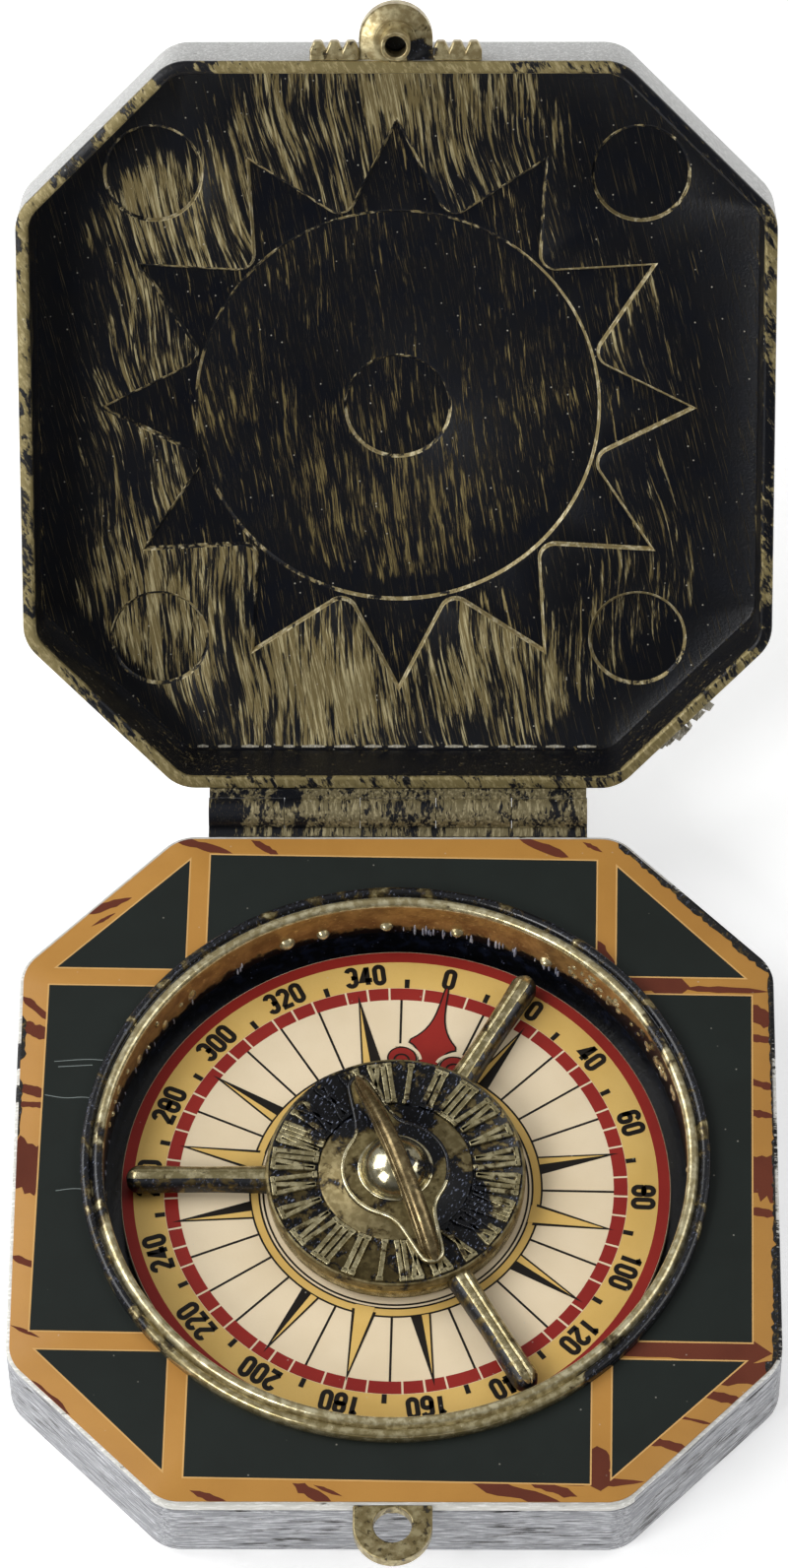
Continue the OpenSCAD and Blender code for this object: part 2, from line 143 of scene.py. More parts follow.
def octagon(inset):
    """The case's outline, drawn in by inset: a square with cut and rounded corners."""
    steps = 8
    r = max(CORNER_R - inset, 0.2)
    d = HALF - inset - r
    e = math.sqrt(2) * (CUT - inset - r) - d
    points = []
    for k in range(8):
        x, y = (d, e) if k % 2 == 0 else (e, d)
        q = math.radians(90 * (k // 2))
        cx, cy = x * math.cos(q) - y * math.sin(q), x * math.sin(q) + y * math.cos(q)
        for i in range(steps + 1):
            a = math.radians(45 * k + 45 * i / steps)
            points.append((cx + r * math.cos(a), cy + r * math.sin(a)))
    return points


def sun(grow):
    """The sunken sun's outline, moved outwards by grow: straight rays and rounded valleys."""
    steps = 10
    half = math.pi / RAYS
    fillet = 1.6
    centre = Vector((math.cos(half), math.sin(half))) * (SUN_R + 0.4 + fillet)
    to_centre = Vector((RAY_R, 0)) - centre
    turn = math.atan2(to_centre.y, to_centre.x) - math.acos(fillet / to_centre.length)
    touch = centre + fillet * Vector((math.cos(turn), math.sin(turn)))
    tip_half = math.atan2(touch.y, RAY_R - touch.x)
    tip = Vector((RAY_R + grow / math.sin(tip_half), 0))
    first, last = turn + 2 * math.pi, 2 * (math.pi + half) - turn - 2 * math.pi
    valley = [centre + (fillet - grow) * Vector((math.cos(a), math.sin(a)))
              for a in (first + (last - first) * i / steps for i in range(steps + 1))]
    points = []
    for k in range(RAYS):
        spin = Matrix.Rotation(2 * math.pi * k / RAYS + math.pi / 2, 2)
        points += [tuple(spin @ p) for p in [tip] + valley]
    return points


def inside(point, outline):
    """True if a point lies inside a closed outline."""
    x, y = point
    hit = False
    for (ax, ay), (bx, by) in zip(outline, outline[1:] + outline[:1]):
        if (ay > y) != (by > y) and x < ax + (y - ay) * (bx - ax) / (by - ay):
            hit = not hit
    return hit


def turned(outline, compass):
    """An outline turned clockwise about the centre."""
    spin = Matrix.Rotation(-math.radians(compass), 2)
    return [tuple(spin @ Vector(p)) for p in outline]


def smooth(points, rounds=2, closed=True):
    """Cuts a polygon's corners until it is smooth."""
    for _ in range(rounds):
        pairs = list(zip(points, points[1:] + points[:1])) if closed else list(zip(points, points[1:]))
        cut = [tuple(u + (v - u) * t for u, v in zip(a, b)) for a, b in pairs for t in (0.25, 0.75)]
        points = cut if closed else [points[0]] + cut + [points[-1]]
    return points


def triangulate(loops):
    """Triangles over closed loops that keep every side of each: points, triangles, each point's sources."""
    edges, start = [], 0
    for loop in loops:
        edges += [(start + i, start + (i + 1) % len(loop)) for i in range(len(loop))]
        start += len(loop)
    made = delaunay_2d_cdt([Vector(p) for loop in loops for p in loop], edges, [], 0, 1e-7)
    return made[0], made[2], made[3]


# ---------------------------------------------------------------- mesh building
class Shape:
    """A mesh under construction, in millimetres."""

    def __init__(self):
        self.bm = bmesh.new()

    def ring(self, outline, z=None):
        return [self.bm.verts.new(p if z is None else (p[0], p[1], z)) for p in outline]

    def rings(self, outline_at, profile):
        """One ring for each (size, z) of a profile."""
        return [self.ring(outline_at(size), z) for size, z in profile]

    def face(self, verts, part=0):
        made = self.bm.faces.new(verts)
        made.material_index = part
        return made

    def skin(self, rings, closed=True, part=0):
        """Quads from each ring to the next."""
        for a, b in zip(rings, rings[1:]):
            for i in range(len(a) if closed else len(a) - 1):
                j = (i + 1) % len(a)
                self.face((a[i], a[j], b[j], b[i]), part)

    def fill(self, loops, part=0):
        """A flat face inside the first loop and outside the others."""
        verts = [v for loop in loops for v in loop]
        outlines = [[tuple(v.co.xy) for v in loop] for loop in loops]
        spots, triangles, sources = triangulate(outlines)
        for tri in triangles:
            middle = sum((spots[i] for i in tri), Vector((0, 0))) / 3
            if inside(middle, outlines[0]) and not any(inside(middle, hole) for hole in outlines[1:]):
                self.face([verts[sources[i][0]] for i in tri], part)

    def lathe(self, profile, count=192, closed=False):
        """Revolves a list of (radius, z). A profile with closed=True joins its last point to its first."""
        rings = self.rings(lambda r: circle(r, count), profile)
        self.skin(rings + rings[:1] if closed else rings)
        return rings

    def bar(self, points, width, z0, z1, closed=False):
        """A flat bar of a given width along a path; width may be a list, one for each point."""
        points = [Vector(p) for p in points]
        count = len(points)
        widths = width if isinstance(width, list) else [width] * count
        sections = []
        for i, p in enumerate(points):
            before = points[i - 1] if i or closed else p
            after = points[(i + 1) % count] if i < count - 1 or closed else p
            one = (p - before).normalized() if p != before else (after - p).normalized()
            two = (after - p).normalized() if after != p else one
            middle = (one + two).normalized()
            side = Vector((-middle.y, middle.x)) * widths[i] / 2 / max(middle.dot(one), 0.4)
            sections.append(self.ring([(*(p + side), z0), (*(p + side), z1), (*(p - side), z1),
                                       (*(p - side), z0)]))
        self.tube(sections, closed)

    def tube(self, sections, closed=False):
        """A skin through closed sections, capped at both ends unless it closes on itself."""
        self.skin(sections + sections[:1] if closed else sections)
        if not closed:
            self.face(sections[0])
            self.face(sections[-1])

    def slab(self, outline, z0, z1):
        low, high = self.ring(outline, z0), self.ring(outline, z1)
        self.skin([low, high])
        self.fill([low])
        self.fill([high])

    def sheet(self, loops, keep, z0, z1):
        """A thin solid over the triangles between loops whose middle passes keep."""
        spots, triangles, _ = triangulate(loops)
        kept = [tri for tri in triangles if keep(sum((spots[i] for i in tri), Vector((0, 0))) / 3)]
        used = {i: self.bm.verts.new((*spots[i], z1)) for i in sorted({i for tri in kept for i in tri})}
        tops = [self.face([used[i] for i in tri]) for tri in kept]
        grown = bmesh.ops.extrude_face_region(self.bm, geom=tops)["geom"]
        moved = [g for g in grown if isinstance(g, bmesh.types.BMVert)]
        bmesh.ops.translate(self.bm, verts=moved, vec=(0, 0, z0 - z1))
        for tri in kept:
            if all(used[i].is_valid for i in tri) and not self.bm.faces.get([used[i] for i in tri]):
                self.face([used[i] for i in tri])

    def object(self, name, *rest, **options):
        """Makes the object; what follows the name is as for dressed()."""
        bmesh.ops.recalc_face_normals(self.bm, faces=self.bm.faces[:])
        bmesh.ops.scale(self.bm, vec=(MM, MM, MM), verts=self.bm.verts[:])
        mesh = bpy.data.meshes.new(name)
        self.bm.to_mesh(mesh)
        self.bm.free()
        return dressed(mesh, name, *rest, **options)


def dressed(mesh, name, materials, body, slot, replaces=(), place=None, angle=35, bevel=0.0):
    """Puts a mesh in the scene with its materials and body, and hides the CAD nodes it stands for. slot is
    not used.
    """
    for material in materials:
        mesh.materials.append(material)
    if place:
        drawn = [v.co.copy() for v in mesh.vertices]
        mesh.transform(place)
        shift = mesh.attributes.new("shift", "FLOAT_VECTOR", "POINT")
        shift.data.foreach_set("vector", [c for v, old in zip(mesh.vertices, drawn) for c in old - v.co])
    mesh.polygons.foreach_set("use_smooth", [True] * len(mesh.polygons))
    mesh.set_sharp_from_angle(angle=math.radians(angle))
    obj = bpy.data.objects.new(name, mesh)
    bpy.context.scene.collection.objects.link(obj)
    if bevel:
        modifier = obj.modifiers.new("edges", "BEVEL")
        modifier.width = bevel * MM
        modifier.segments = 2
        modifier.limit_method = "ANGLE"
        modifier.angle_limit = math.radians(angle)
        modifier.harden_normals = True
    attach(obj, body)
    if replaces:
        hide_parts(*replaces)
    return obj


def swell_knuckles(bm, middles):
    """Grows a hinge leaf's knuckles a little into their running gaps."""
    for v in bm.verts:
        spoke = Vector((v.co.y - AXIS.y, v.co.z - AXIS.z))
        if (KNUCKLE_R - 0.1) * MM < spoke.length < (KNUCKLE_R + 0.03) * MM:
            grown = spoke.normalized() * (KNUCKLE_R + SWELL_R) * MM
            v.co.y, v.co.z = AXIS.y + grown.x, AXIS.z + grown.y
        middle = min(middles, key=lambda x: abs(v.co.x - x * MM)) * MM
        if abs(abs(v.co.x - middle) - KNUCKLE * MM / 2 + 0.03 * MM) < 0.04 * MM:
            v.co.x = middle + math.copysign((KNUCKLE / 2 + SWELL_LONG) * MM, v.co.x - middle)


def eased_copy(node, name, materials, body, slot, place=None, bevel=0.08, middles=()):
    """A CAD node's own shape with its edges eased. With place, it is redrawn unopened first."""
    mesh = frame["nodes"][node].data.copy()
    mesh.materials.clear()
    if place:
        mesh.transform(place.inverted())
    bm = bmesh.new()
    bm.from_mesh(mesh)
    bmesh.ops.remove_doubles(bm, verts=bm.verts[:], dist=1e-6)
    bmesh.ops.dissolve_limit(bm, angle_limit=math.radians(1), verts=bm.verts[:], edges=bm.edges[:])
    if middles:
        swell_knuckles(bm, middles)
    bm.to_mesh(mesh)
    bm.free()
    return dressed(mesh, name, materials, body, slot, [node], place, 30, bevel)


# ---------------------------------------------------------------- materials
def srgb(code):
    """Linear colour of a six-digit hexadecimal code."""
    values = [int(code[i:i + 2], 16) / 255 for i in (0, 2, 4)]
    return [v / 12.92 if v <= 0.04045 else ((v + 0.055) / 1.055) ** 2.4 for v in values] + [1]


class Finish:
    """A node material under construction, laid out on pieces as they were drawn, before any turning.

    Sizes in its textures are in millimetres.
    """

    def __init__(self, name):
        self.material = bpy.data.materials.new(name)
        self.material.use_nodes = True
        self.tree = self.material.node_tree
        self.tree.nodes.clear()
        shift = self.add("Attribute", attribute_name="shift").outputs["Vector"]
        self.place = self.add("VectorMath", {0: self.add("TexCoord").outputs["Object"], 1: shift}).outputs[0]

    def add(self, kind, inputs=None, **settings):
        made = self.tree.nodes.new("ShaderNode" + kind)
        for key, value in settings.items():
            setattr(made, key, value)
        for key, value in (inputs or {}).items():
            if isinstance(value, bpy.types.NodeSocket):
                self.tree.links.new(value, made.inputs[key])
            else:
                made.inputs[key].default_value = value
        return made

    def grain(self, size, detail=4, rough=0.55, turn=0, warp=0.0, shift=0.0):
        """Noise whose grains have a given size; a tuple stretches them along x, y and z."""
        sizes = size if isinstance(size, tuple) else (size, size, size)
        turned_to = self.add("Mapping", {"Vector": self.place, "Rotation": (0, 0, math.radians(turn)),
                                         "Location": (shift, shift, shift)})
        scaled = self.add("Mapping", {"Vector": turned_to.outputs[0],
                                      "Scale": [1 / (MM * s) for s in sizes]})
        return self.add("TexNoise", {"Vector": scaled.outputs[0], "Scale": 1, "Detail": detail,
                                     "Roughness": rough, "Distortion": warp}).outputs["Fac"]

    def swayed(self, amount, size):
        """The layout pushed sideways by up to half an amount, in waves of a given size."""
        push = self.times(self.less(self.grain(size, 1), 0.5), amount * MM)
        offset_by = self.add("CombineXYZ", {0: push}).outputs[0]
        return self.add("VectorMath", {0: self.place, 1: offset_by}).outputs[0]

    def math(self, kind, a, b):
        return self.add("Math", {0: a, 1: b}, operation=kind).outputs[0]

    def times(self, a, b):
        return self.math("MULTIPLY", a, b)

    def plus(self, a, b):
        return self.math("ADD", a, b)

    def less(self, a, b):
        return self.math("SUBTRACT", a, b)

    def span(self, value, low, high):
        """A value from 0 to 1 stretched to run from low to high."""
        return self.add("MapRange", {"Value": value, "To Min": low, "To Max": high}).outputs[0]

    def step(self, value, low, high):
        """0 below low, 1 above high and smooth between."""
        return self.add("MapRange", {"Value": value, "From Min": low, "From Max": high},
                        interpolation_type="SMOOTHSTEP").outputs[0]

    def mix(self, share, a, b):
        made = self.add("Mix", {0: share}, data_type="RGBA")
        for index, colour in ((6, a), (7, b)):
            if isinstance(colour, bpy.types.NodeSocket):
                self.tree.links.new(colour, made.inputs[index])
            else:
                made.inputs[index].default_value = srgb(colour) if isinstance(colour, str) else colour
        return made.outputs[2]

    def near(self, centre, radius):
        """1 at a point of the object and 0 beyond a radius, in millimetres."""
        far = self.add("VectorMath", {0: self.place, 1: [c * MM for c in centre]}, operation="DISTANCE")
        return self.step(far.outputs["Value"], radius * MM, 0)

    def specks(self, size, share):
        """Scattered round specks of dust."""
        scaled = self.add("Mapping", {"Vector": self.place, "Scale": [1 / (MM * size)] * 3})
        cell = self.add("TexVoronoi", {"Vector": scaled.outputs[0], "Scale": 1, "Randomness": 1})
        lit = self.math("GREATER_THAN", self.add("SeparateColor", {0: cell.outputs["Color"]}).outputs[0],
                        1 - share)
        return self.times(lit, self.step(cell.outputs["Distance"], 0.2, 0.08))

    def shade(self, colour, rough, metal=0.0, height=None, relief=0.05, coat=0.0, gloss=0.5):
        """The closing shader. relief is the bump's height in millimetres."""
        inputs = {"Base Color": colour, "Roughness": rough, "Metallic": metal, "Coat Weight": coat,
                  "Coat Roughness": 0.1, "Specular IOR Level": gloss}
        if height is not None:
            bump = self.add("Bump", {"Height": height, "Distance": relief * MM, "Strength": 1})
            inputs["Normal"] = bump.outputs[0]
        shader = self.add("BsdfPrincipled", inputs)
        out = self.add("OutputMaterial")
        self.tree.links.new(shader.outputs[0], out.inputs[0])
        return self.material


BLACK = "121317"
BLUE_BLACK = "0d1018"
PAINT = "8d7d52"
PAINT_LIGHT = "b9a878"
PAINT_DARK = "54472b"


def brushed(name, cover, turn=0.0, width=0.35, length=6.0, blobs=(), paint=PAINT, light=PAINT_LIGHT,
            flecks=0.03, axis=1, sway=0.0, margins=(), gloss=0.35):
    """Glossy black with brass paint dragged over it in strokes.

    cover is the share painted, from 0 to 1; blobs are (centre, radius, change in cover). Strokes sway
    sideways by some millimetres. margins are (compass, start, end): paint fades out that way.
    """
    f = Finish(name)
    straight = f.place
    if sway:
        f.place = f.swayed(sway, 22.0)

    def strokes(along, across):
        """Grain sizes of a stroke, as multiples of its length and width."""
        return tuple(length * along if i == axis else width * across for i in range(3))

    fine = f.grain(strokes(1, 1), 7, 0.68, turn, 0.35)
    wide = f.grain(strokes(1.6, 3.2), 3, 0.5, turn, 0.4, 0.3)
    f.place = straight
    patch = f.grain(9.0, 3, 0.6, shift=0.7)
    amount = f.plus(f.times(patch, 0.5), cover - 0.25)
    for centre, radius, change in blobs:
        amount = f.plus(amount, f.times(f.near(centre, radius), change))
    for compass, start, end in margins:
        out = f.add("VectorMath", {0: f.place, 1: polar(1 / MM, compass, 0)}, operation="DOT_PRODUCT")
        amount = f.less(amount, f.times(f.step(out.outputs["Value"], start, end), 0.5))
    streak = f.plus(f.times(fine, 0.62), f.times(wide, 0.38))
    level = f.plus(streak, f.times(f.less(amount, 0.5), 0.42))
    mask = f.step(level, 0.5, 0.54)
    hair = f.step(f.grain(strokes(1, 0.35), 3, 0.6, turn + 3, 0.5, 0.9), 0.61, 0.66)
    mask = f.math("MAXIMUM", mask, f.times(hair, 0.75))
    tone = f.mix(f.step(f.grain(strokes(0.8, 0.8), 4, 0.7, turn, shift=0.2), 0.46, 0.66), paint, light)
    tone = f.mix(f.times(f.step(level, 0.56, 0.5), 0.8), tone, PAINT_DARK)
    under = f.mix(f.step(f.grain(3.0, 3), 0.4, 0.7), BLACK, BLUE_BLACK)
    colour = f.mix(mask, under, tone)
    colour = f.mix(f.times(f.specks(0.55, flecks), 0.8), colour, "c9c4b4")
    rough = f.span(mask, 0.3, 0.46)
    grit = f.times(f.grain(0.25, 4, 0.6), 0.35)
    height = f.plus(f.times(mask, 0.6), grit)
    return f.shade(colour, rough, f.times(mask, 0.35), height, 0.06, gloss=gloss)


def worn_brass(name, paint=PAINT, light=PAINT_LIGHT, dark=BLACK, cover=0.5, rough=0.34, metal=0.75,
               blobs=(), size=2.2, gloss=0.5, glints="5c6070"):
    """Brass paint rubbed bright in places and gone to black in others, with painted glints: pale bluish
    flecks in the black that stand in for light caught on it.
    """
    f = Finish(name)
    patch = f.grain(size, 5, 0.62, warp=0.3)
    amount = f.plus(patch, (cover - 0.5) * 0.3)
    for centre, radius, change in blobs:
        amount = f.plus(amount, f.times(f.near(centre, radius), 0.3 * change))
    mask = f.step(amount, 0.42, 0.5)
    tone = f.mix(f.step(f.grain(0.8, 4, 0.6, shift=0.4), 0.4, 0.65), paint, light)
    tone = f.mix(f.step(amount, 0.56, 0.47), tone, PAINT_DARK)
    # painted glints: pale bluish flecks in the black, standing in for light caught by the surface
    glint = f.step(f.grain((0.2, 0.45, 0.3), 3, 0.6, 30), 0.6, 0.67)
    colour = f.mix(mask, f.mix(glint, dark, glints), tone)
    coarse = f.span(f.grain(0.5, 4), rough - 0.08, rough + 0.14)
    height = f.plus(f.times(mask, 0.4), f.times(f.grain(0.45, 3), 0.4))
    return f.shade(colour, coarse, f.times(mask, metal), height, 0.035, gloss=gloss)


def bezel_inside(name):
    """Bronze paint on the bezel's inner wall that breaks up into black along its lower edge and towards its
    left and right, with painted glints in the black.
    """
    f = Finish(name)
    height = f.add("SeparateXYZ", {0: f.place}).outputs[2]
    level = f.times(f.less(height, (SLEEVE_Z + 0.9) * MM), 1 / MM)
    wave = f.less(f.grain((2.2, 2.2, 3.0), 5, 0.6), 0.5)
    level = f.plus(level, f.times(wave, 4))
    level = f.less(level, f.times(f.near((-27, -8, 9), 26), 4))
    level = f.less(level, f.times(f.near((27, 9, 9), 20), 4))
    mask = f.step(level, -0.25, 0.25)
    tone = f.mix(f.step(f.grain(1.8, 5, 0.6), 0.35, 0.65), "8a683d", "b48f58")
    tone = f.mix(f.step(f.grain(0.5, 4, 0.6), 0.58, 0.7), tone, "cfae74")
    # painted glints: pale bluish flecks in the black stand in for light caught by the glossy wall
    glint = f.step(f.grain((0.3, 0.3, 0.8), 3, 0.6), 0.66, 0.73)
    colour = f.mix(mask, f.mix(glint, "0c0b0c", "9297bb"), tone)
    relief = f.plus(f.times(mask, 0.8), f.times(f.grain(0.5, 4), 0.5))
    return f.shade(colour, 0.3, f.times(mask, 0.4), relief, 0.08)


def printed(name, colour, other=None, rough=0.36):
    """Satin printed sheet with a fine dot screen and slight shading."""
    f = Finish(name)
    other = other or [c * 0.82 for c in srgb(colour)[:3]] + [1]
    cloud = f.step(f.grain(7.0, 4, 0.55), 0.3, 0.75)
    tone = f.mix(f.times(cloud, 0.6), colour, other)
    screen = f.grain(0.16, 2, 0.5)
    tone = f.mix(f.times(f.step(screen, 0.55, 0.7), 0.24), tone, other)
    tone = f.mix(f.times(f.specks(0.6, 0.03), 0.35), tone, "cfcabd")
    coarse = f.span(f.grain(1.5, 3), rough - 0.06, rough + 0.1)
    return f.shade(tone, coarse, 0, f.grain(0.3, 3), 0.006, gloss=0.25)


def gloss_black(name):
    """Glossy black with soft unevenness, and small bluish glints painted into its colour."""
    f = Finish(name)
    tone = f.mix(f.step(f.grain(1.2, 4), 0.45, 0.7), "0b0c10", "1b2030")
    # painted glints: small pale bluish flecks
    tone = f.mix(f.step(f.grain((0.4, 0.4, 0.8), 3, 0.6), 0.67, 0.74), tone, "6d718c")
    return f.shade(tone, 0.16, 0, f.grain((0.7, 0.7, 0.3), 5, 0.6, warp=0.5), coat=0.4)


def polished(name, colour, dark):
    """Polished metal with faint scratches and a few tarnished spots."""
    f = Finish(name)
    spot = f.step(f.grain(1.6, 4, 0.6), 0.58, 0.7)
    tone = f.mix(spot, colour, dark)
    return f.shade(tone, f.span(f.grain((0.1, 2.0, 0.4), 3), 0.25, 0.37), 1, f.grain(0.5, 3), 0.008)


def steel(name):
    f = Finish(name)
    tone = f.mix(f.grain(0.6, 4), "8f9296", "b9bcc0")
    return f.shade(tone, 0.34, 1.0, f.grain((0.08, 0.6, 0.6), 3), 0.01)


def plain_floor(name):
    f = Finish(name)
    tone = f.mix(f.grain(40.0, 3), "f8f8f7", "fcfcfc")
    shader = f.shade(tone, 0.75).node_tree.nodes["Principled BSDF"]
    shader.inputs["Emission Color"].default_value = (1, 1, 1, 1)
    shader.inputs["Emission Strength"].default_value = 0.4
    return f.material


# ---------------------------------------------------------------- case
SCREWS = four(24.8)


def along_sides(obj):
    """Shares the outer walls, part 1, among four materials, so that their strokes run along each wall."""
    for polygon in obj.data.polygons:
        if polygon.material_index == 1 and abs(polygon.normal.z) < 0.9:
            turn = math.degrees(math.atan2(polygon.normal.y, polygon.normal.x))
            polygon.material_index = 1 + round(turn / 45) % 4
    return obj


def case_shell(sides, under):
    s = Shape()
    rings = s.rings(octagon, eased() + [(0, TUB_TOP - 0.22), (0.06, TUB_TOP - 0.08), (0.2, TUB_TOP)])
    s.skin(rings, part=1)
    inner = [s.ring(octagon(WALL), TUB_TOP), s.ring(octagon(WALL), FLOOR)]
    s.skin([rings[-1], inner[0]], part=1)
    s.skin(inner)
    sockets = [(2.3, 0), (2.3, 1.4), (1.2, 1.4), (1.2, 2.6), (4.0, 2.6), (4.0, FLOOR)]
    under_holes, floor_holes = [], []
    for centre in SCREWS:
        loops = s.rings(lambda r: circle(r, 48, centre), sockets)
        s.skin(loops)
        under_holes.append(loops[0])
        floor_holes.append(loops[-1])
    s.fill([rings[0]] + under_holes)
    s.fill([inner[1]] + floor_holes)
    along_sides(s.object("case_shell", [under] + sides, "case", "antique_shell", ["case_tub"], bevel=0.06))


def deck_rim(lip, sides):
    """The plate under the printed face: its eased edge is the pale lip round the case, pale as a painted
    highlight.
    """
    s = Shape()
    profile = [(0.22, TUB_TOP), (0.05, TUB_TOP + 0.1), (0, TUB_TOP + 0.25), (0, DECK_TOP - 0.2),
               (0.06, DECK_TOP - 0.06), (0.2, DECK_TOP)]
    rings = s.rings(octagon, profile)
    s.skin(rings[:3], part=1)
    s.skin(rings[2:4], part=1)
    s.skin(rings[3:])
    hole = [s.ring(circle(SLEEVE_R + 0.05), z) for z in (TUB_TOP, DECK_TOP)]
    s.skin(hole)
    s.fill([rings[0], hole[0]])
    s.fill([rings[-1], hole[1]])
    skirt = [(WALL + 0.05, TUB_TOP), (WALL + 0.05, TUB_TOP - 1.5), (WALL + 1.05, TUB_TOP - 1.5),
             (WALL + 1.05, TUB_TOP)]
    rings = s.rings(octagon, skirt)
    s.skin(rings + rings[:1])
    for centre in SCREWS:
        loops = s.rings(lambda r: circle(r, 40, centre), ((3, 2.6), (3, TUB_TOP), (1, TUB_TOP), (1, 2.6)))
        s.skin(loops + loops[:1])
    obj = along_sides(s.object("deck_rim", [lip] + sides, "case", "deck_black", ["deck_plate"]))
    # the front side takes the pale lip material as well: a painted highlight on the side facing the light
    for polygon in obj.data.polygons:
        if polygon.normal.y < -0.8:
            polygon.material_index = 0


# ---------------------------------------------------------------- printed face
STRIP_AT = 20.45
STRIP_HALF = 1.05
PANEL_EDGE = 34.9
CHAMFER_SUM = 55.7
PRINT_TURN = 1.0
# Red-brown strokes across the tan bands: start, end and width
STROKES = (
    ((-23.0, 37.2), (-16.6, 35.4), 1.1), ((-14.8, 37.0), (-11.8, 35.0), 0.8),
    ((12.2, 37.2), (17.2, 35.0), 1.2), ((18.6, 36.8), (20.6, 35.6), 0.5),
    ((-31.6, 28.2), (-26.6, 30.2), 0.9), ((-30.6, 26.8), (-28.2, 28.4), 0.4),
    ((-37.4, 18.8), (-34.2, 15.8), 0.9), ((-37.4, 15.5), (-34.4, 14.0), 1.6),
    ((-37.4, 8.3), (-34.6, 7.5), 1.5), ((-37.4, 6.4), (-34.4, 6.2), 0.8),
    ((-38.2, 0.0), (-34.0, -1.2), 5.8), ((-37.4, -10.6), (-34.4, -12.0), 0.9),
    ((-37.2, -18.2), (-34.2, -19.6), 0.4), ((-35.8, -23.8), (-31.0, -28.0), 0.9),
    ((-33.4, -27.6), (-30.8, -29.4), 0.5), ((-19.4, -36.0), (-15.4, -37.6), 0.8),
    ((-9.6, -35.2), (-5.6, -37.6), 1.2), ((-7.6, -35.4), (-4.8, -36.6), 0.4),
    ((7.0, -34.8), (16.6, -37.6), 1.5), ((12.6, -34.8), (17.6, -36.6), 1.0),
    ((19.6, 25.4), (21.8, 20.6), 1.7), ((20.6, 20.6), (29.2, 19.8), 2.4),
    ((28.0, 19.7), (37.0, 19.3), 0.8), ((34.2, 17.4), (37.6, 15.6), 2.2),
    ((34.4, 14.2), (37.4, 13.6), 0.9), ((34.4, 9.2), (37.4, 8.2), 0.9),
    ((34.4, 5.6), (37.4, 5.0), 0.9), ((34.0, -1.2), (38.2, -2.2), 5.4),
    ((34.4, -5.4), (37.4, -6.0), 0.9), ((18.5, -20.2), (36.5, -21.2), 3.0),
    ((29.4, -23.2), (37.8, -23.6), 3.0), ((28.6, -25.2), (34.0, -26.6), 1.1),
    ((26.0, -27.7), (31.6, -29.1), 0.3), ((23.4, -30.2), (28.6, -31.8), 1.0),
    ((19.5, -31.2), (19.8, -36.0), 2.6), ((15.0, -35.2), (24.0, -35.0), 0.8))


def offset(outline, distance):
    """Moves each side of an anticlockwise outline outwards."""
    moved = []
    for i, p in enumerate(outline):
        before = (Vector(p) - Vector(outline[i - 1])).normalized()
        after = (Vector(outline[(i + 1) % len(outline)]) - Vector(p)).normalized()
        normal = Vector((before.y + after.y, -before.x - after.x)).normalized()
        along = normal.dot(Vector((before.y, -before.x)))
        moved.append(tuple(Vector(p) + normal * distance / max(along, 0.35)))
    return moved


def face_panels():
    """Outlines of the four side panels and four corner triangles."""
    low, high = STRIP_AT + STRIP_HALF, STRIP_AT - STRIP_HALF
    side = [(low, -high), (PANEL_EDGE, -high), (PANEL_EDGE, high), (low, high)]
    corner = [(low, low), (CHAMFER_SUM - low, low), (low, CHAMFER_SUM - low)]
    return [turned(outline, 90 * k + PRINT_TURN) for k in range(4) for outline in (side, corner)]


def ragged(start, end, width, rng):
    """Outline of a brush stroke: a pointed, uneven lens."""
    start, end = Vector(start), Vector(end)
    along = end - start
    side = Vector((-along.y, along.x)).normalized() * width / 2
    stations = [i / 9 for i in range(1, 9)]
    blunt = 2.4 + 2 * width
    swell = [min(1.0, blunt * min(t, 1 - t)) * rng.uniform(0.72, 1.12) for t in stations]
    upper = [start + along * t + side * k for t, k in zip(stations, swell)]
    lower = [start + along * t - side * k * rng.uniform(0.75, 1.1) for t, k in zip(stations, swell)]
    return [tuple(p) for p in [start] + lower + [end] + upper[::-1]]


def scratches(s):
    """Fine pale scratches across the left panel."""
    lines = (((-34.6, 7.4), (-32.6, 7.0), (-30.6, 7.2), (-29.0, 6.8)),
             ((-33.8, 11.2), (-30.4, 11.5), (-28.6, 11.3)), ((-33.4, 10.6), (-30.0, 10.8)),
             ((-33.2, -3.4), (-31.4, -3.1), (-29.9, -3.3)), ((-30.2, 6.6), (-28.8, 8.6)))
    for line in lines:
        s.bar(smooth(list(line), 2, False), 0.07, FACE, FACE + 3 * INK)


# Blackened stretches of the label's edge: compass angles of the ends, and width at each end
GRIME = ((31, 60, 0.6, 0.8), (60, 86, 0.35, 0.15), (86, 104, 0.3, 0.35), (104, 123, 0.5, 0.85),
         (274, 284, 0.25, 0.35), (287, 294, 0.55, 0.45))


def edge_point(compass, inset):
    """Point on the octagon's straight sides, drawn in by inset, in a compass direction."""
    sides = [(HALF if k % 2 == 0 else CUT, 45 * k) for k in range(8)]
    reach = min((d - inset) / c for d, at in sides if (c := math.cos(math.radians(compass - at))) > 0.3)
    return polar(reach, compass)


def grime(s, edge):
    """Ragged black rubbed into the label's edge."""
    rng = random.Random(13)
    for start, end, first, last in GRIME:
        count = round((end - start) * 1.6)
        angles = [start + (end - start) * i / count for i in range(count + 1)]
        deep = [(first + (last - first) * i / count) * rng.uniform(0.55, 1.15) for i in range(count + 1)]
        deep[0] = deep[-1] = 0
        strip = [edge_point(a, LABEL_EDGE + d) for a, d in zip(angles, deep)]
        strip += [edge_point(a, -1) for a in angles[::-1]]
        s.sheet([strip, edge], lambda p, strip=strip: inside(p, strip) and inside(p, edge),
                FACE - 0.004, FACE + 2 * INK)


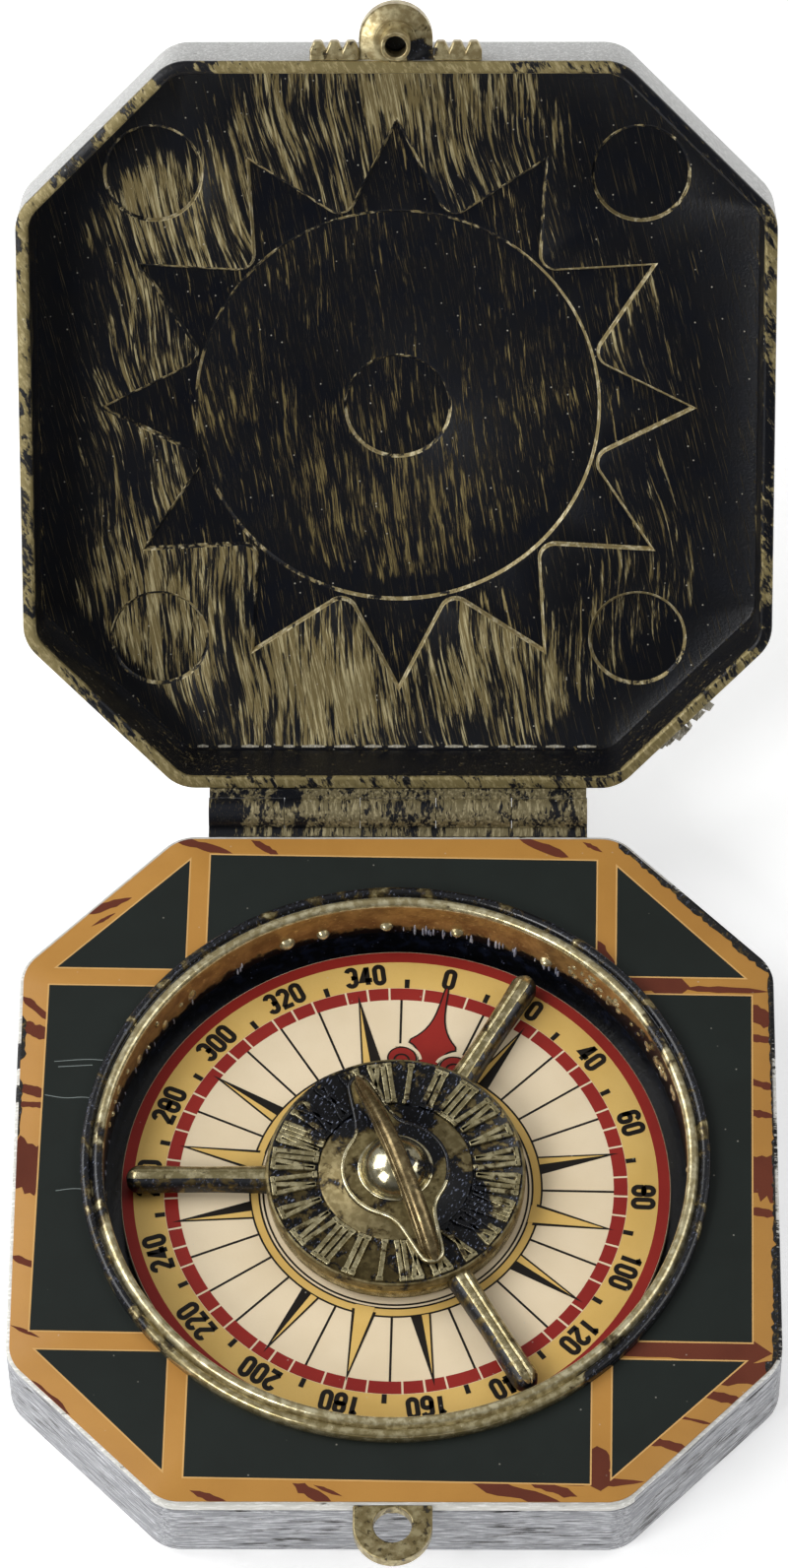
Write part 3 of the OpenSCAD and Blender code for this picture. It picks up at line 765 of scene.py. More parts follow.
def printed_face(tan, line, green, brown, pale, black):
    rng = random.Random(7)
    edge = octagon(LABEL_EDGE)
    hole = circle(SLEEVE_R + 0.05)
    s = Shape()
    rings = [s.ring(octagon(LABEL_EDGE + more), z)
             for more, z in ((0, DECK_TOP), (0, FACE - 0.02), (0.03, FACE))]
    s.skin(rings)
    holes = [s.ring(hole, z) for z in (DECK_TOP, FACE)]
    s.skin(holes)
    s.fill([rings[0], holes[0]])
    s.fill([rings[-1], holes[1]])
    s.object("face_sheet", [tan], "case", "printed_face", ["face_label"])

    ring = circle(BEZEL_R - 0.06)

    def outside_bezel(point):
        return point.length > BEZEL_R - 0.06

    s = Shape()
    for i, (start, end, width) in enumerate(STROKES):
        stroke = ragged(start, end, width, rng)
        s.sheet([stroke, edge, ring],
                lambda p, stroke=stroke: inside(p, stroke) and inside(p, edge) and outside_bezel(p),
                FACE - 0.004, FACE + INK + 0.002 * (i % 4))
    s.object("face_strokes", [brown], "case", "printed_face")
    for name, grow, top, material in (("face_lines", 0.16, 1.6, line), ("face_fields", 0, 2.3, green)):
        s = Shape()
        for panel in face_panels():
            wide = offset(panel, grow)
            s.sheet([wide, ring], lambda p, wide=wide: inside(p, wide) and outside_bezel(p),
                    FACE - 0.004, FACE + top * INK)
        s.object(name, [material], "case", "printed_face")
    s = Shape()
    scratches(s)
    s.object("face_scratches", [pale], "case", "printed_face")
    s = Shape()
    grime(s, edge)
    s.object("face_grime", [black], "case", "printed_face")


# ---------------------------------------------------------------- bezel
TEETH = (-23, -16, -3, 12, 31)


def bead(centre_r, centre_z, r):
    """Points over a bead, from its inner side to its outer side."""
    return [(centre_r - r * math.cos(math.pi * i / 10), centre_z + r * math.sin(math.pi * i / 10))
            for i in range(11)]


def bezel(brass, wall, outer_brass):
    inner, outer = 0.55, 0.5
    s = Shape()
    steps = 10
    up = [(WELL_R, SLEEVE_Z + (BEZEL_TOP - inner - SLEEVE_Z) * i / steps) for i in range(steps)]
    over = bead(WELL_R + inner, BEZEL_TOP - inner, inner) + [(WELL_R + 1.14, FACE + 0.72)]
    down = bead(BEZEL_R - outer, BEZEL_TOP - outer - 0.1, outer)
    back = [(BEZEL_R, FACE + 0.05), (BEZEL_R - 0.05, FACE), (SLEEVE_R, FACE), (SLEEVE_R, SLEEVE_Z)]
    rings = s.rings(lambda r: circle(r, 288), up + over + down + back)
    inside_end, top_end = len(up), len(up + over) - 1
    s.skin(rings[:inside_end + 1], part=1)
    s.skin(rings[inside_end:top_end + 1])
    s.skin(rings[top_end:], part=2)
    s.skin([rings[-1], rings[0]], part=1)
    rng = random.Random(11)
    waves = [(rng.randint(4, 26), rng.uniform(0, 6.3), rng.uniform(0.003, 0.009)) for _ in range(14)]
    for v in s.bm.verts:
        if v.co.z > FACE + 0.3:
            a = math.atan2(v.co.y, v.co.x)
            v.co.z += sum(size * math.sin(n * a + lag) for n, lag, size in waves) - 0.05
    s.object("bezel", [brass, wall, outer_brass], "case", "bezel_brass", ["bezel_ring"], angle=50)


def lump(s, centre, out, across, sizes):
    """A small rounded lump that stands out of a wall, narrower above."""
    up = Vector((0, 0, 1))
    tip = s.bm.verts.new(centre + out * sizes[2])
    inner = None
    for reach, depth in ((0.45, 0.86), (0.8, 0.5), (1.0, -0.1)):
        ring = [s.bm.verts.new(centre + out * sizes[2] * depth + across * sizes[0] * reach * math.cos(a) / 2
                               + up * sizes[1] * reach * math.sin(a) * (0.5 if math.sin(a) < 0 else 0.8))
                for a in (2 * math.pi * i / 10 for i in range(10))]
        if inner is None:
            for i in range(10):
                s.face((tip, ring[i], ring[(i + 1) % 10]))
        else:
            s.skin([inner, ring])
        inner = ring
    s.face(inner)


def bezel_burrs(bright, glint_flecks):
    """Small moulding lumps and flakes along the bezel's inner wall, and short pale bluish slivers low on it
    that are painted glints.
    """
    rng = random.Random(5)

    def scatter(s, count, angles, heights, widths, depths, tall=(0.6, 1.3)):
        for _ in range(count):
            compass = rng.uniform(*angles)
            w = rng.uniform(*widths)
            centre = Vector(polar(WELL_R, compass, FACE + rng.uniform(*heights)))
            lump(s, centre, Vector(polar(-1, compass, 0)), Vector(polar(1, compass + 90, 0)),
                 (w, w * rng.uniform(*tall), rng.uniform(*depths)))

    s = Shape()
    for compass in TEETH:
        scatter(s, 1, (compass - 1, compass + 1), (-2.9, -2.5), (1.4, 1.9), (0.55, 0.7), (0.4, 0.6))
    scatter(s, 10, (-80, -45), (-2.8, -0.6), (0.5, 1.2), (0.15, 0.25))
    scatter(s, 46, (37, 74), (-2.6, -0.4), (0.35, 1.0), (0.1, 0.2))
    scatter(s, 14, (80, 280), (-1.5, 0.0), (0.3, 0.7), (0.12, 0.25))
    s.object("bezel_burrs", [bright], "case", "bezel_brass")
    s = Shape()
    # painted glints: short pale bluish slivers low on the wall, where the black catches light
    scatter(s, 34, (1, 36), (-4.1, -3.3), (0.16, 0.3), (0.12, 0.2), (3, 6))
    scatter(s, 16, (-95, -30), (-3.9, -2.6), (0.12, 0.24), (0.08, 0.14), (3, 6))
    s.object("bezel_glint_flecks", [glint_flecks], "case", "bezel_brass")


# ---------------------------------------------------------------- bridge, hub and gnomon
def bridge(brass, dark):
    s = Shape()
    body_r = HUB_R - 0.1
    profile = [(1.2, HUB_LOW), (1.2, BRIDGE_LOW + 0.5), (body_r - 1.1, BRIDGE_LOW + 0.5),
               (body_r - 1.1, BRIDGE_LOW), (body_r - 0.15, BRIDGE_LOW), (body_r, BRIDGE_LOW + 0.15),
               (body_r, HUB_LOW - 0.05), (body_r - 0.05, HUB_LOW)]
    s.lathe(profile, 160, closed=True)
    low, high = BRIDGE_LOW + 0.5, BRIDGE_HIGH
    half = ARM_W / 2
    crown = ((-1, 0), (-1, 0.48), (-0.94, 0.66), (-0.72, 0.84), (-0.4, 0.94), (-0.24, 0.9), (-0.1, 1),
             (0.16, 1), (0.45, 0.95), (0.74, 0.83), (0.94, 0.64), (1, 0.46), (1, 0))
    for compass in ARM_ANGLES:
        spin = Matrix.Rotation(-math.radians(compass), 3, "Z")
        # which half of each arm's top is painted dark: painted shade on the side away from the light, turned
        # over for the arm at 270
        shaded_side = -1 if compass == 270 else 1
        sections = []
        for i in range(25):
            t = i / 24
            y = body_r - 0.8 + (ARM_END - body_r + 0.8) * math.sin(t * math.pi / 2)
            left = max(ARM_END - y, 0.0)
            close = math.sqrt(max(0.0, 1 - (1 - left / half) ** 2)) if left < half else 1.0
            waist = 1.0 - 0.1 * math.sin(math.pi * min(1.0, (y - body_r) / 12))
            width = max(half * close * waist, 0.12)
            tall = (high - low) * (0.55 + 0.45 * close)
            sections.append([s.bm.verts.new(spin @ Vector((x * width * shaded_side, y, low + z * tall)))
                             for x, z in crown])
        # part 0 is the lit half of the top; part 1, the other half and the underside, is painted shade
        s.skin([section[:9] for section in sections], closed=False)
        s.skin([section[8:] + section[:1] for section in sections], closed=False, part=1)
        s.face(sections[0])
        s.face(sections[-1])
    obj = s.object("bridge", [brass, dark], "case", "hub_brass", ["bridge_arms"], angle=40)
    # the arms' steep sides take the dark material too: sides that the dry-brushing missed, and painted shade
    for polygon in obj.data.polygons:
        if abs(polygon.normal.z) < 0.6 and polygon.center.xy.length > HUB_R * MM:
            polygon.material_index = 1


def roman(number):
    text = ""
    for value, sign in ((10, "X"), (9, "IX"), (5, "V"), (4, "IV"), (1, "I")):
        while number >= value:
            text += sign
            number -= value
    return text


def hub(brass, dark, bright):
    """Hour dial: twice twelve raised numerals on a dark ground, round a plain ring."""
    s = Shape()
    edge = HUB_R
    profile = [(1.0, HUB_LOW), (edge, HUB_LOW), (edge, HUB_FACE - 0.05), (edge - 0.1, HUB_FACE + 0.12),
               (edge - 0.3, HUB_FACE + 0.16), (edge - 0.5, HUB_FACE + 0.02), (7.7, HUB_FACE - 0.1),
               (7.6, HUB_FACE + 0.03), (7.4, HUB_FACE + 0.12), (5.6, HUB_FACE + 0.14),
               (5.4, HUB_TOP), (1.0, HUB_TOP)]
    s.lathe(profile, 160, closed=True)
    obj = s.object("hour_dial", [brass, dark], "case", "hub_brass", ["hour_hub"], angle=40)
    for polygon in obj.data.polygons:
        r, up = polygon.center.xy.length / MM, polygon.normal.z
        polygon.material_index = 1 if up > 0.5 and 7.6 < r < edge - 0.3 else 0

    s = Shape()
    inner, outer = 7.9, edge - 0.75
    stroke, widest = 0.52, 2.45
    widths = {"I": 0.72, "V": 1.45, "X": 1.45}
    for place in range(24):
        text = roman(place % 12 + 1)
        scale = min(1.0, widest / sum(widths[c] for c in text))
        x = -sum(widths[c] for c in text) * scale / 2
        spin = Matrix.Rotation(-math.radians(15 * place + 7), 2)
        for sign in text:
            w = widths[sign] * scale
            mid, reach = x + w / 2, 0.36 * w
            lines = {"I": [((mid, inner), (mid, outer))],
                     "V": [((mid, inner), (mid - reach, outer)), ((mid, inner), (mid + reach, outer))],
                     "X": [((mid - reach, inner), (mid + reach, outer)),
                           ((mid + reach, inner), (mid - reach, outer))]}[sign]
            lines += [((x, outer), (x + w, outer))]
            lines += [((x, inner), (x + w, inner))] if sign != "V" else []
            for a, b in lines:
                s.bar([spin @ Vector(a), spin @ Vector(b)], stroke * (0.75 + 0.25 * scale),
                      HUB_FACE - 0.05, HUB_TOP - 0.02)
            x += w
    s.object("hour_numerals", [bright], "case", "hub_brass", bevel=0.09)


def gnomon_base_outline():
    """A disc with a tapering, round-ended lobe at each end."""
    end = ARCH_HALF - 1.3
    arc = [(5.4 * math.cos(a), 5.4 * math.sin(a)) for a in (math.radians(5 * i) for i in range(12))]
    flank = [(2.45, 5.1), (2.1, 5.8), (1.9, 6.6), (1.74, 7.5), (1.56, 8.6), (1.36, end - 0.1)]
    tip = [(1.3 * math.cos(a), end + 1.3 * math.sin(a)) for a in (math.radians(10 * i) for i in range(1, 9))]
    quarter = arc + flank + tip + [(0, ARCH_HALF)]
    half = quarter + [(-x, y) for x, y in quarter[-2::-1]]
    return smooth(half + [(-x, -y) for x, y in half[1:-1]], 1)


def gnomon(plate_brass, edge_highlight_brass, bow_brass):
    place = Matrix.Rotation(-math.radians(GNOMON_TURN), 4, "Z")
    s = Shape()
    outline = gnomon_base_outline()
    hole = [s.ring(circle(1.05, 48), z) for z in (PLATE_LOW, PLATE_HIGH)]
    steps = [(0.08, PLATE_LOW), (0, PLATE_LOW + 0.08), (0, PLATE_HIGH - 0.02), (0.07, PLATE_HIGH + 0.08),
             (0.2, PLATE_HIGH + 0.12), (0.33, PLATE_HIGH + 0.08), (0.4, PLATE_HIGH - 0.05)]
    rings = s.rings(lambda inset: offset(outline, -inset), steps)
    s.skin(rings[:3])
    # the raised edge bead, part 1, is painted pale as a highlight
    s.skin(rings[2:], part=1)
    s.skin(hole)
    s.fill([rings[0], hole[0]])
    s.fill([rings[-1], hole[1]])
    s.object("gnomon_base", [plate_brass, edge_highlight_brass], "gnomon", "hub_brass", ["gnomon_plate"], place,
             angle=50)

    rise = ARCH_HIGH - PLATE_HIGH
    inner_half, inner_rise = ARCH_HALF - 2.2, rise - 1.3
    outer_r = (ARCH_HALF ** 2 + rise ** 2) / (2 * rise)
    inner_r = (inner_half ** 2 + inner_rise ** 2) / (2 * inner_rise)
    section = ((-1.0, 0.0), (-1.0, 0.5), (-0.94, 0.66), (-0.74, 0.74), (-0.62, 0.7), (-0.52, 0.8),
               (-0.3, 0.95), (0.0, 1.0), (0.4, 0.97), (0.75, 0.82), (0.95, 0.58), (1.0, 0.3), (0.9, 0.06),
               (0.6, 0.0), (-0.6, 0.0))
    s = Shape()
    sections = []
    stations = 64
    for i in range(stations + 1):
        t = 2 * i / stations - 1
        a_out, a_in = t * math.asin(ARCH_HALF / outer_r), t * math.asin(inner_half / inner_r)
        top = Vector((0, outer_r * math.sin(a_out), ARCH_HIGH - outer_r + outer_r * math.cos(a_out)))
        low = Vector((0, inner_r * math.sin(a_in),
                      PLATE_HIGH + inner_rise - inner_r + inner_r * math.cos(a_in)))
        half = 0.95 - 0.16 * t - 0.12 * t * t
        ends = max(0.0, abs(t) - 0.93) / 0.07
        sections.append([s.bm.verts.new((x * half * (1 - 0.25 * ends), *(low.lerp(top, h)).yz))
                         for x, h in section])
    s.tube(sections)
    s.object("gnomon_bow", [bow_brass], "gnomon", "arch_brass", ["gnomon_arch"], place, angle=50)


def dome(brass):
    rise = DOME_HIGH - DOME_LOW
    foot = 3.7
    r = (3.5 ** 2 + (rise - 0.1) ** 2) / (2 * (rise - 0.1))
    top = math.asin(3.5 / r)
    s = Shape()
    profile = [(1.0, HUB_LOW), (1.0, DOME_LOW), (foot - 0.05, DOME_LOW), (foot, DOME_LOW + 0.06),
               (foot - 0.08, DOME_LOW + 0.12)]
    profile += [(r * math.sin(top * (1 - i / 24)), DOME_HIGH - r + r * math.cos(top * (1 - i / 24)))
                for i in range(24)] + [(0.05, DOME_HIGH)]
    rings = s.lathe(profile, 128)
    s.face(rings[0])
    s.face(rings[-1])
    s.object("gnomon_button", [brass], "case", "polished_brass", ["gnomon_dome"], angle=50)


# ---------------------------------------------------------------- compass card
GLYPH_W, GLYPH_H = 0.84, 1.95
BORDER_R, FIGURE_RING_R, INNER_RING_R = 25.9, 22.9, 13.5


def half_turn(cx, cy, rx, ry, start, end, count=8):
    """Points along an ellipse's arc, angles in degrees."""
    return [(cx + rx * math.cos(math.radians(start + (end - start) * i / count)),
             cy + ry * math.sin(math.radians(start + (end - start) * i / count))) for i in range(count + 1)]


def glyph(digit):
    """Centre lines of a narrow figure in a box of GLYPH_W by GLYPH_H, each with a closed mark."""
    w, h = GLYPH_W / 2, GLYPH_H
    r = w
    upper, lower = half_turn(0, h - r, w, r, 0, 180), half_turn(0, r, w, r, 180, 360)
    if digit == "0":
        return [(upper + lower, True)]
    if digit == "1":
        return [([(0.12, 0), (0.12, h + 0.12)], False), ([(0.12, h * 0.97), (-0.26, h * 0.8)], False)]
    if digit == "2":
        return [(half_turn(0, h - r, w, r, 180, 0) + [(w, h * 0.64), (-w, 0.12)], False),
                ([(-w - 0.12, 0), (w + 0.14, 0)], False)]
    if digit == "3":
        top = half_turn(0, h - r, w, r, 170, -10) + half_turn(0, h * 0.54, w, 0.14, 0, -90, 3)
        low = half_turn(0, h * 0.42, w, 0.14, 90, 0, 3) + half_turn(0, r, w, r, 0, -170)
        return [(top, False), (low, False)]
    if digit == "4":
        return [([(w * 0.5, 0), (w * 0.5, h + 0.1)], False),
                ([(w * 0.4, h), (-w, 0.52), (w + 0.22, 0.52)], False)]
    if digit == "6":
        stem = half_turn(0, h - r, w, r, 10, 180) + [(-w, r)]
        loop = lower + half_turn(0, h * 0.42, w, r * 0.7, 0, 180)
        return [(stem, False), (loop, True)]
    loops = [(half_turn(0, h - r, w, r, 0, 180) + half_turn(0, h * 0.6, w, r * 0.5, 180, 360), True)]
    return loops + [(lower + half_turn(0, h * 0.42, w, r * 0.5, 0, 180), True)]


def draw_figures(s, text, compass, r, z0, z1):
    """Writes a number across a compass angle, tops outwards."""
    pitch = GLYPH_W + 0.57
    out, across = Vector(polar(1, compass)), Vector(polar(1, compass + 90))
    for i, digit in enumerate(text):
        middle = (i - (len(text) - 1) / 2) * pitch
        for line, closed in glyph(digit):
            path = [across * (middle + x) + out * (r + y - GLYPH_H / 2) for x, y in line]
            if closed:
                path = [p for j, p in enumerate(path) if (p - path[j - 1]).length > 0.02]
            s.bar(path, 0.5, z0, z1, closed)


def band(s, r0, r1, start, end, z0, z1):
    """A flat piece of ring between two compass angles."""
    steps = max(2, int(abs(end - start) / 2))
    angles = [start + (end - start) * i / steps for i in range(steps + 1)]
    corners_at = [[s.bm.verts.new(polar(r, a, z)) for r, z in ((r0, z0), (r1, z0), (r1, z1), (r0, z1))]
                  for a in angles]
    whole = abs(end - start) >= 360
    if whole:
        for v in corners_at.pop():
            s.bm.verts.remove(v)
    s.tube(corners_at, whole)


def star_point(s, compass, half, base, tip, z0, z1, sides=(-1, 1)):
    """A narrow triangle pointing outwards, or one half of it."""
    out, across = Vector(polar(1, compass)), Vector(polar(1, compass + 90))
    outline = [across * (half * side) + out * base for side in sides] + [out * tip]
    s.slab([tuple(p) for p in outline], z0, z1)


def fleur(s_black, s_red, s_pale, z):
    """A spade-shaped petal with two lobes and pale scrolls, pointing to zero."""
    right = [(0.1, 23.3), (0.2, 21.6), (0.42, 19.8), (0.86, 18.5), (1.5, 17.5), (2.45, 16.6),
             (1.75, 16.3), (1.25, 15.7), (0.95, 14.9), (0.7, 13.6)]
    petal = smooth(right[::-1] + [(-x, y) for x, y in right], 1)[::-1]
    petal = petal if sum(a[0] * b[1] - b[0] * a[1] for a, b in zip(petal, petal[1:] + petal[:1])) > 0 \
        else petal[::-1]
    s_black.slab(offset(petal, 0.16), z, z + INK * 6)
    s_red.slab(petal, z, z + INK * 7)
    for side in (-1, 1):
        lobe = [(side * 2.65 + 1.35 * math.cos(a), 14.5 + 1.2 * math.sin(a))
                for a in (2 * math.pi * i / 32 for i in range(32))]
        s_black.slab(offset(lobe, 0.16), z, z + INK * 4)
        s_red.slab(lobe, z, z + INK * 5)
        scroll = half_turn(side * 2.75, 14.4, side * 1.95, 1.6, 168, 60, 12)
        s_pale.bar(scroll, 0.3, z, z + INK * 8)
        curl = half_turn(side * 2.65, 14.3, side * 0.75, 0.65, 190, -20, 10)
        s_black.bar(curl, 0.16, z, z + INK * 9)


def compass_card(cream, yellow, red, black, board):
    place = Matrix.Rotation(-math.radians(CARD_TURN), 4, "Z")

    def made(shape, name, material):
        shape.object(name, [material], "card", "printed_card", place=place)

    s = Shape()
    profile = [(2.8, CARD_LOW), (CARD_R - 0.08, CARD_LOW), (CARD_R, CARD_LOW + 0.08),
               (CARD_R, CARD_TOP - 0.08), (CARD_R - 0.08, CARD_TOP), (2.8, CARD_TOP)]
    s.lathe(profile, 192, closed=True)
    disc = s.object("card_disc", [cream, board], "card", "printed_card", ["compass_card"], place)
    for polygon in disc.data.polygons:
        polygon.material_index = 0 if polygon.normal.z > 0.9 else 1

    z = CARD_TOP - 0.004
    rings = Shape()
    band(rings, FIGURE_RING_R, BORDER_R + 0.05, 0, 360, z, CARD_TOP + INK)
    band(rings, INNER_RING_R, INNER_RING_R + 0.85, 0, 360, z, CARD_TOP + INK)
    made(rings, "card_yellow_rings", yellow)

    reds, blacks, pales, golds = Shape(), Shape(), Shape(), Shape()
    band(reds, BORDER_R, CARD_R - 0.12, 0, 360, z, CARD_TOP + 2 * INK)
    for i in range(18):
        number = 20 * i
        for middle, half in ((number + 10, 4.15), (number - 2.8, 2.5), (number + 2.8, 2.5)):
            band(reds, 21.5, 22.85, middle - half, middle + half, z, CARD_TOP + 2 * INK)
        band(blacks, FIGURE_RING_R, FIGURE_RING_R + 1, number + 9.4, number + 10.6, z, CARD_TOP + 3 * INK)
        draw_figures(blacks, str(number), number, FIGURE_RING_R + 1.52, z, CARD_TOP + 3 * INK)
    for r in (INNER_RING_R - 0.4, INNER_RING_R, INNER_RING_R + 0.9):
        band(blacks, r - 0.09, r + 0.09, 0, 360, z, CARD_TOP + 3 * INK)

    wide, narrow = (90, 180, 270), [22.5 + 45 * i for i in range(8)]
    for i in range(32):
        compass = 11.25 * i
        if compass in wide or compass in narrow or compass == 0:
            continue
        blacks.bar([polar(14.45, compass), polar(21.5, compass)], 0.23, z, CARD_TOP + 1.5 * INK)
    for compass in wide:
        star_point(blacks, compass, 1.2, 14.0, 21.9, z, CARD_TOP + 4 * INK)
        star_point(golds, compass, 0.98, 13.5, 20.9, z, CARD_TOP + 5 * INK)
    for compass in narrow:
        star_point(blacks, compass, 1.0, 14.4, 22.3, z, CARD_TOP + 4 * INK)
        star_point(golds, compass, 0.8, 14.45, 21.0, z, CARD_TOP + 5 * INK, sides=(-1, -0.12))
    fleur(blacks, reds, pales, z)
    made(reds, "card_red_print", red)
    made(blacks, "card_black_print", black)
    made(pales, "card_scrolls", cream)
    made(golds, "card_star_points", yellow)


# ---------------------------------------------------------------- lid
CORNER_DISCS = four(24.2)
CORNER_DISC_R, EYE_R = 4.8, 5.25


def lid(outside, rim, plateau, rays, disc, edges):
    """The shut lid's shell: a rounded back, an eased rim, and the sun sunk in its floor."""
    s = Shape()
    back = RIM + LID_DEEP
    outer = s.rings(octagon, [(inset, back - down) for inset, down in eased()] + [(0, RIM + 0.3)])
    s.skin(outer)
    s.fill([outer[0]])
    lip = [(0.08, RIM + 0.1), (0.28, RIM), (LID_WALL - 0.3, RIM), (LID_WALL - 0.1, RIM + 0.12),
           (LID_WALL, RIM + 0.35)]
    lip = s.rings(octagon, lip)
    s.skin([outer[-1]] + lip, part=1)
    wall = s.rings(octagon, [(LID_WALL + 0.1, LID_FLOOR - 0.45), (LID_WALL + 0.18, LID_FLOOR - 0.15),
                             (LID_WALL + 0.45, LID_FLOOR)])
    s.skin([lip[-1]] + wall, part=3)

    def sink(outline_at, top, deep):
        """Walls of a sunken field with eased edges. Returns its upper and lower loops."""
        steps = [(0.17, 0), (0.09, 0.03), (0.03, 0.12), (-0.05, deep - 0.1), (-0.14, deep)]
        loops = s.rings(outline_at, [(grow, top + down) for grow, down in steps])
        s.skin(loops, part=5)
        return loops[0], loops[-1]

    sun_top, sun_low = sink(sun, LID_FLOOR, SUN_DEEP)
    holes = [sun_top]
    for centre in CORNER_DISCS:
        top, low = sink(lambda grow, c=centre: circle(CORNER_DISC_R + grow, 72, c), LID_FLOOR, DISC_DEEP)
        s.fill([low], part=2)
        holes.append(top)
    s.fill([wall[-1]] + holes, part=2)
    top, low = sink(lambda grow: circle(SUN_R - 0.2 + grow), LID_FLOOR + SUN_DEEP, DISC_DEEP)
    s.fill([sun_low, top], part=3)
    eye_top, eye_low = sink(lambda grow: circle(EYE_R + grow, 96), LID_FLOOR + SUN_DEEP + DISC_DEEP,
                            DISC_DEEP)
    s.fill([low, eye_top], part=4)
    s.fill([eye_low], part=4)
    s.object("lid_case", [outside, rim, plateau, rays, disc, edges], "lid", "lid_shell", ["lid_shell"],
             LID_PLACE, angle=30)


def lid_flash(brass):
    """Moulding flash: a broken bead along the floor by the hinge, and torn flakes outside one corner, both
    painted pale as highlights.
    """
    rng = random.Random(3)
    s = Shape()
    y = HALF - LID_WALL - 0.42
    x = -20.5
    while x < 19:
        length = rng.uniform(0.7, 2.4)
        s.bar([(x, y), (x + length / 2, y - 0.04), (x + length, y)], [0.14, 0.3, 0.12], LID_FLOOR - 0.22,
              LID_FLOOR + 0.05)
        x += length + rng.uniform(0.5, 1.4)
    along = Vector((-1, 1)).normalized()
    out = Vector((1, 1)).normalized()
    start = Vector((HALF, SIDE_HALF)) + out * -0.1
    for i in range(16):
        foot = start + along * (9.5 + i * 0.42 + rng.uniform(-0.2, 0.2))
        reach = rng.uniform(0.35, 1.1)
        z = RIM + rng.uniform(0.2, 2.4)
        w, h = rng.uniform(0.25, 0.7), rng.uniform(0.3, 0.9)
        root = [(foot - along * w, z - h / 2), (foot + along * w, z - h * 0.3),
                (foot + along * w * 0.6, z + h / 2), (foot - along * w * 0.7, z + h * 0.4)]
        base = [s.bm.verts.new((p.x, p.y, q)) for p, q in root]
        crest = foot + out * reach + along * rng.uniform(-0.4, 0.4)
        tips = [s.bm.verts.new((crest.x + k * w * 0.4, crest.y - k * w * 0.4, z + k * h * 0.3))
                for k in (-1, 1)]
        s.face((base[0], base[1], tips[1], tips[0]))
        s.face((base[2], base[3], tips[0], tips[1]))
        s.face((base[1], base[2], tips[1]))
        s.face((base[3], base[0], tips[0]))
        s.face(base)
    s.object("lid_flash", [brass], "lid", "lid_shell", place=LID_PLACE, bevel=0.03)


# ---------------------------------------------------------------- everything
def spots(z, *rows):
    """Places where a finish is thicker or thinner, all at one height: x, y, radius and change in cover."""
    return [((x, y, z), radius, change) for x, y, radius, change in rows]


def case_pieces():
    # the brass-painted walls are drawn pale grey-silver, a painted sheen for the glancing light they catch
    sides = [brushed(f"case_side_{turn}", 0.76, turn, 0.2, 3.0, paint="8e8f93", light="d6d7db", axis=0)
             for turn in (90, 45, 0, 135)]
    nicks = spots(DECK_TOP, (37.5, 18, 11, -0.7), (37.5, -14, 12, -0.7), (32, 29, 9, -0.8),
                  (37.5, 2, 8, -0.4), (-37.5, 12, 2.4, -0.9), (-37.5, 7.5, 1.6, -0.9))
    # the deck's lip is painted pale as a highlight along its eased edge; the nicks are dark chips
    lip = brushed("deck_lip_highlight", 0.9, 0, 0.3, 2.5, nicks, paint="cfcdc6", light="efeeea", axis=0)
    case_shell(sides, brushed("case_under", 0.5, 12, 0.4, 7.0))
    deck_rim(lip, sides)
    printed_face(printed("print_tan", "c08c45", "b27f3c"), printed("print_line", "dcae6c"),
                 printed("print_green", "1e2421", "1a1e1b", 0.42),
                 printed("print_brown", "6b3524", "57281b"), printed("print_scratch", "8d9694"),
                 worn_brass("edge_grime", "6b5a3a", "8f7b52", "0e0c0b", 0.1, 0.4, size=0.4))

    brass = worn_brass("bezel_brass", "ab9d74", "e2d8b2", cover=1.15, rough=0.2, size=3.0, metal=0.6,
                       blobs=spots(12, (26, 14, 9, -0.6), (22, -22, 6, -0.6), (-28, -2, 9, -1.3)))
    outer = worn_brass("bezel_outer", "94865c", "c6ba92", cover=0.1, rough=0.2, size=2.4, metal=0.6,
                       blobs=spots(12, (-2, -32, 34, 2.2), (22, -22, 8, -1.2)))
    bezel(brass, bezel_inside("bezel_wall"), outer)
    # pale bluish paint for the slivers: painted glints
    bezel_burrs(brass, worn_brass("bezel_glint_flecks", "a9b0c6", "e2e6f2", cover=1.3, rough=0.3, metal=0.2,
                                  size=1.0))


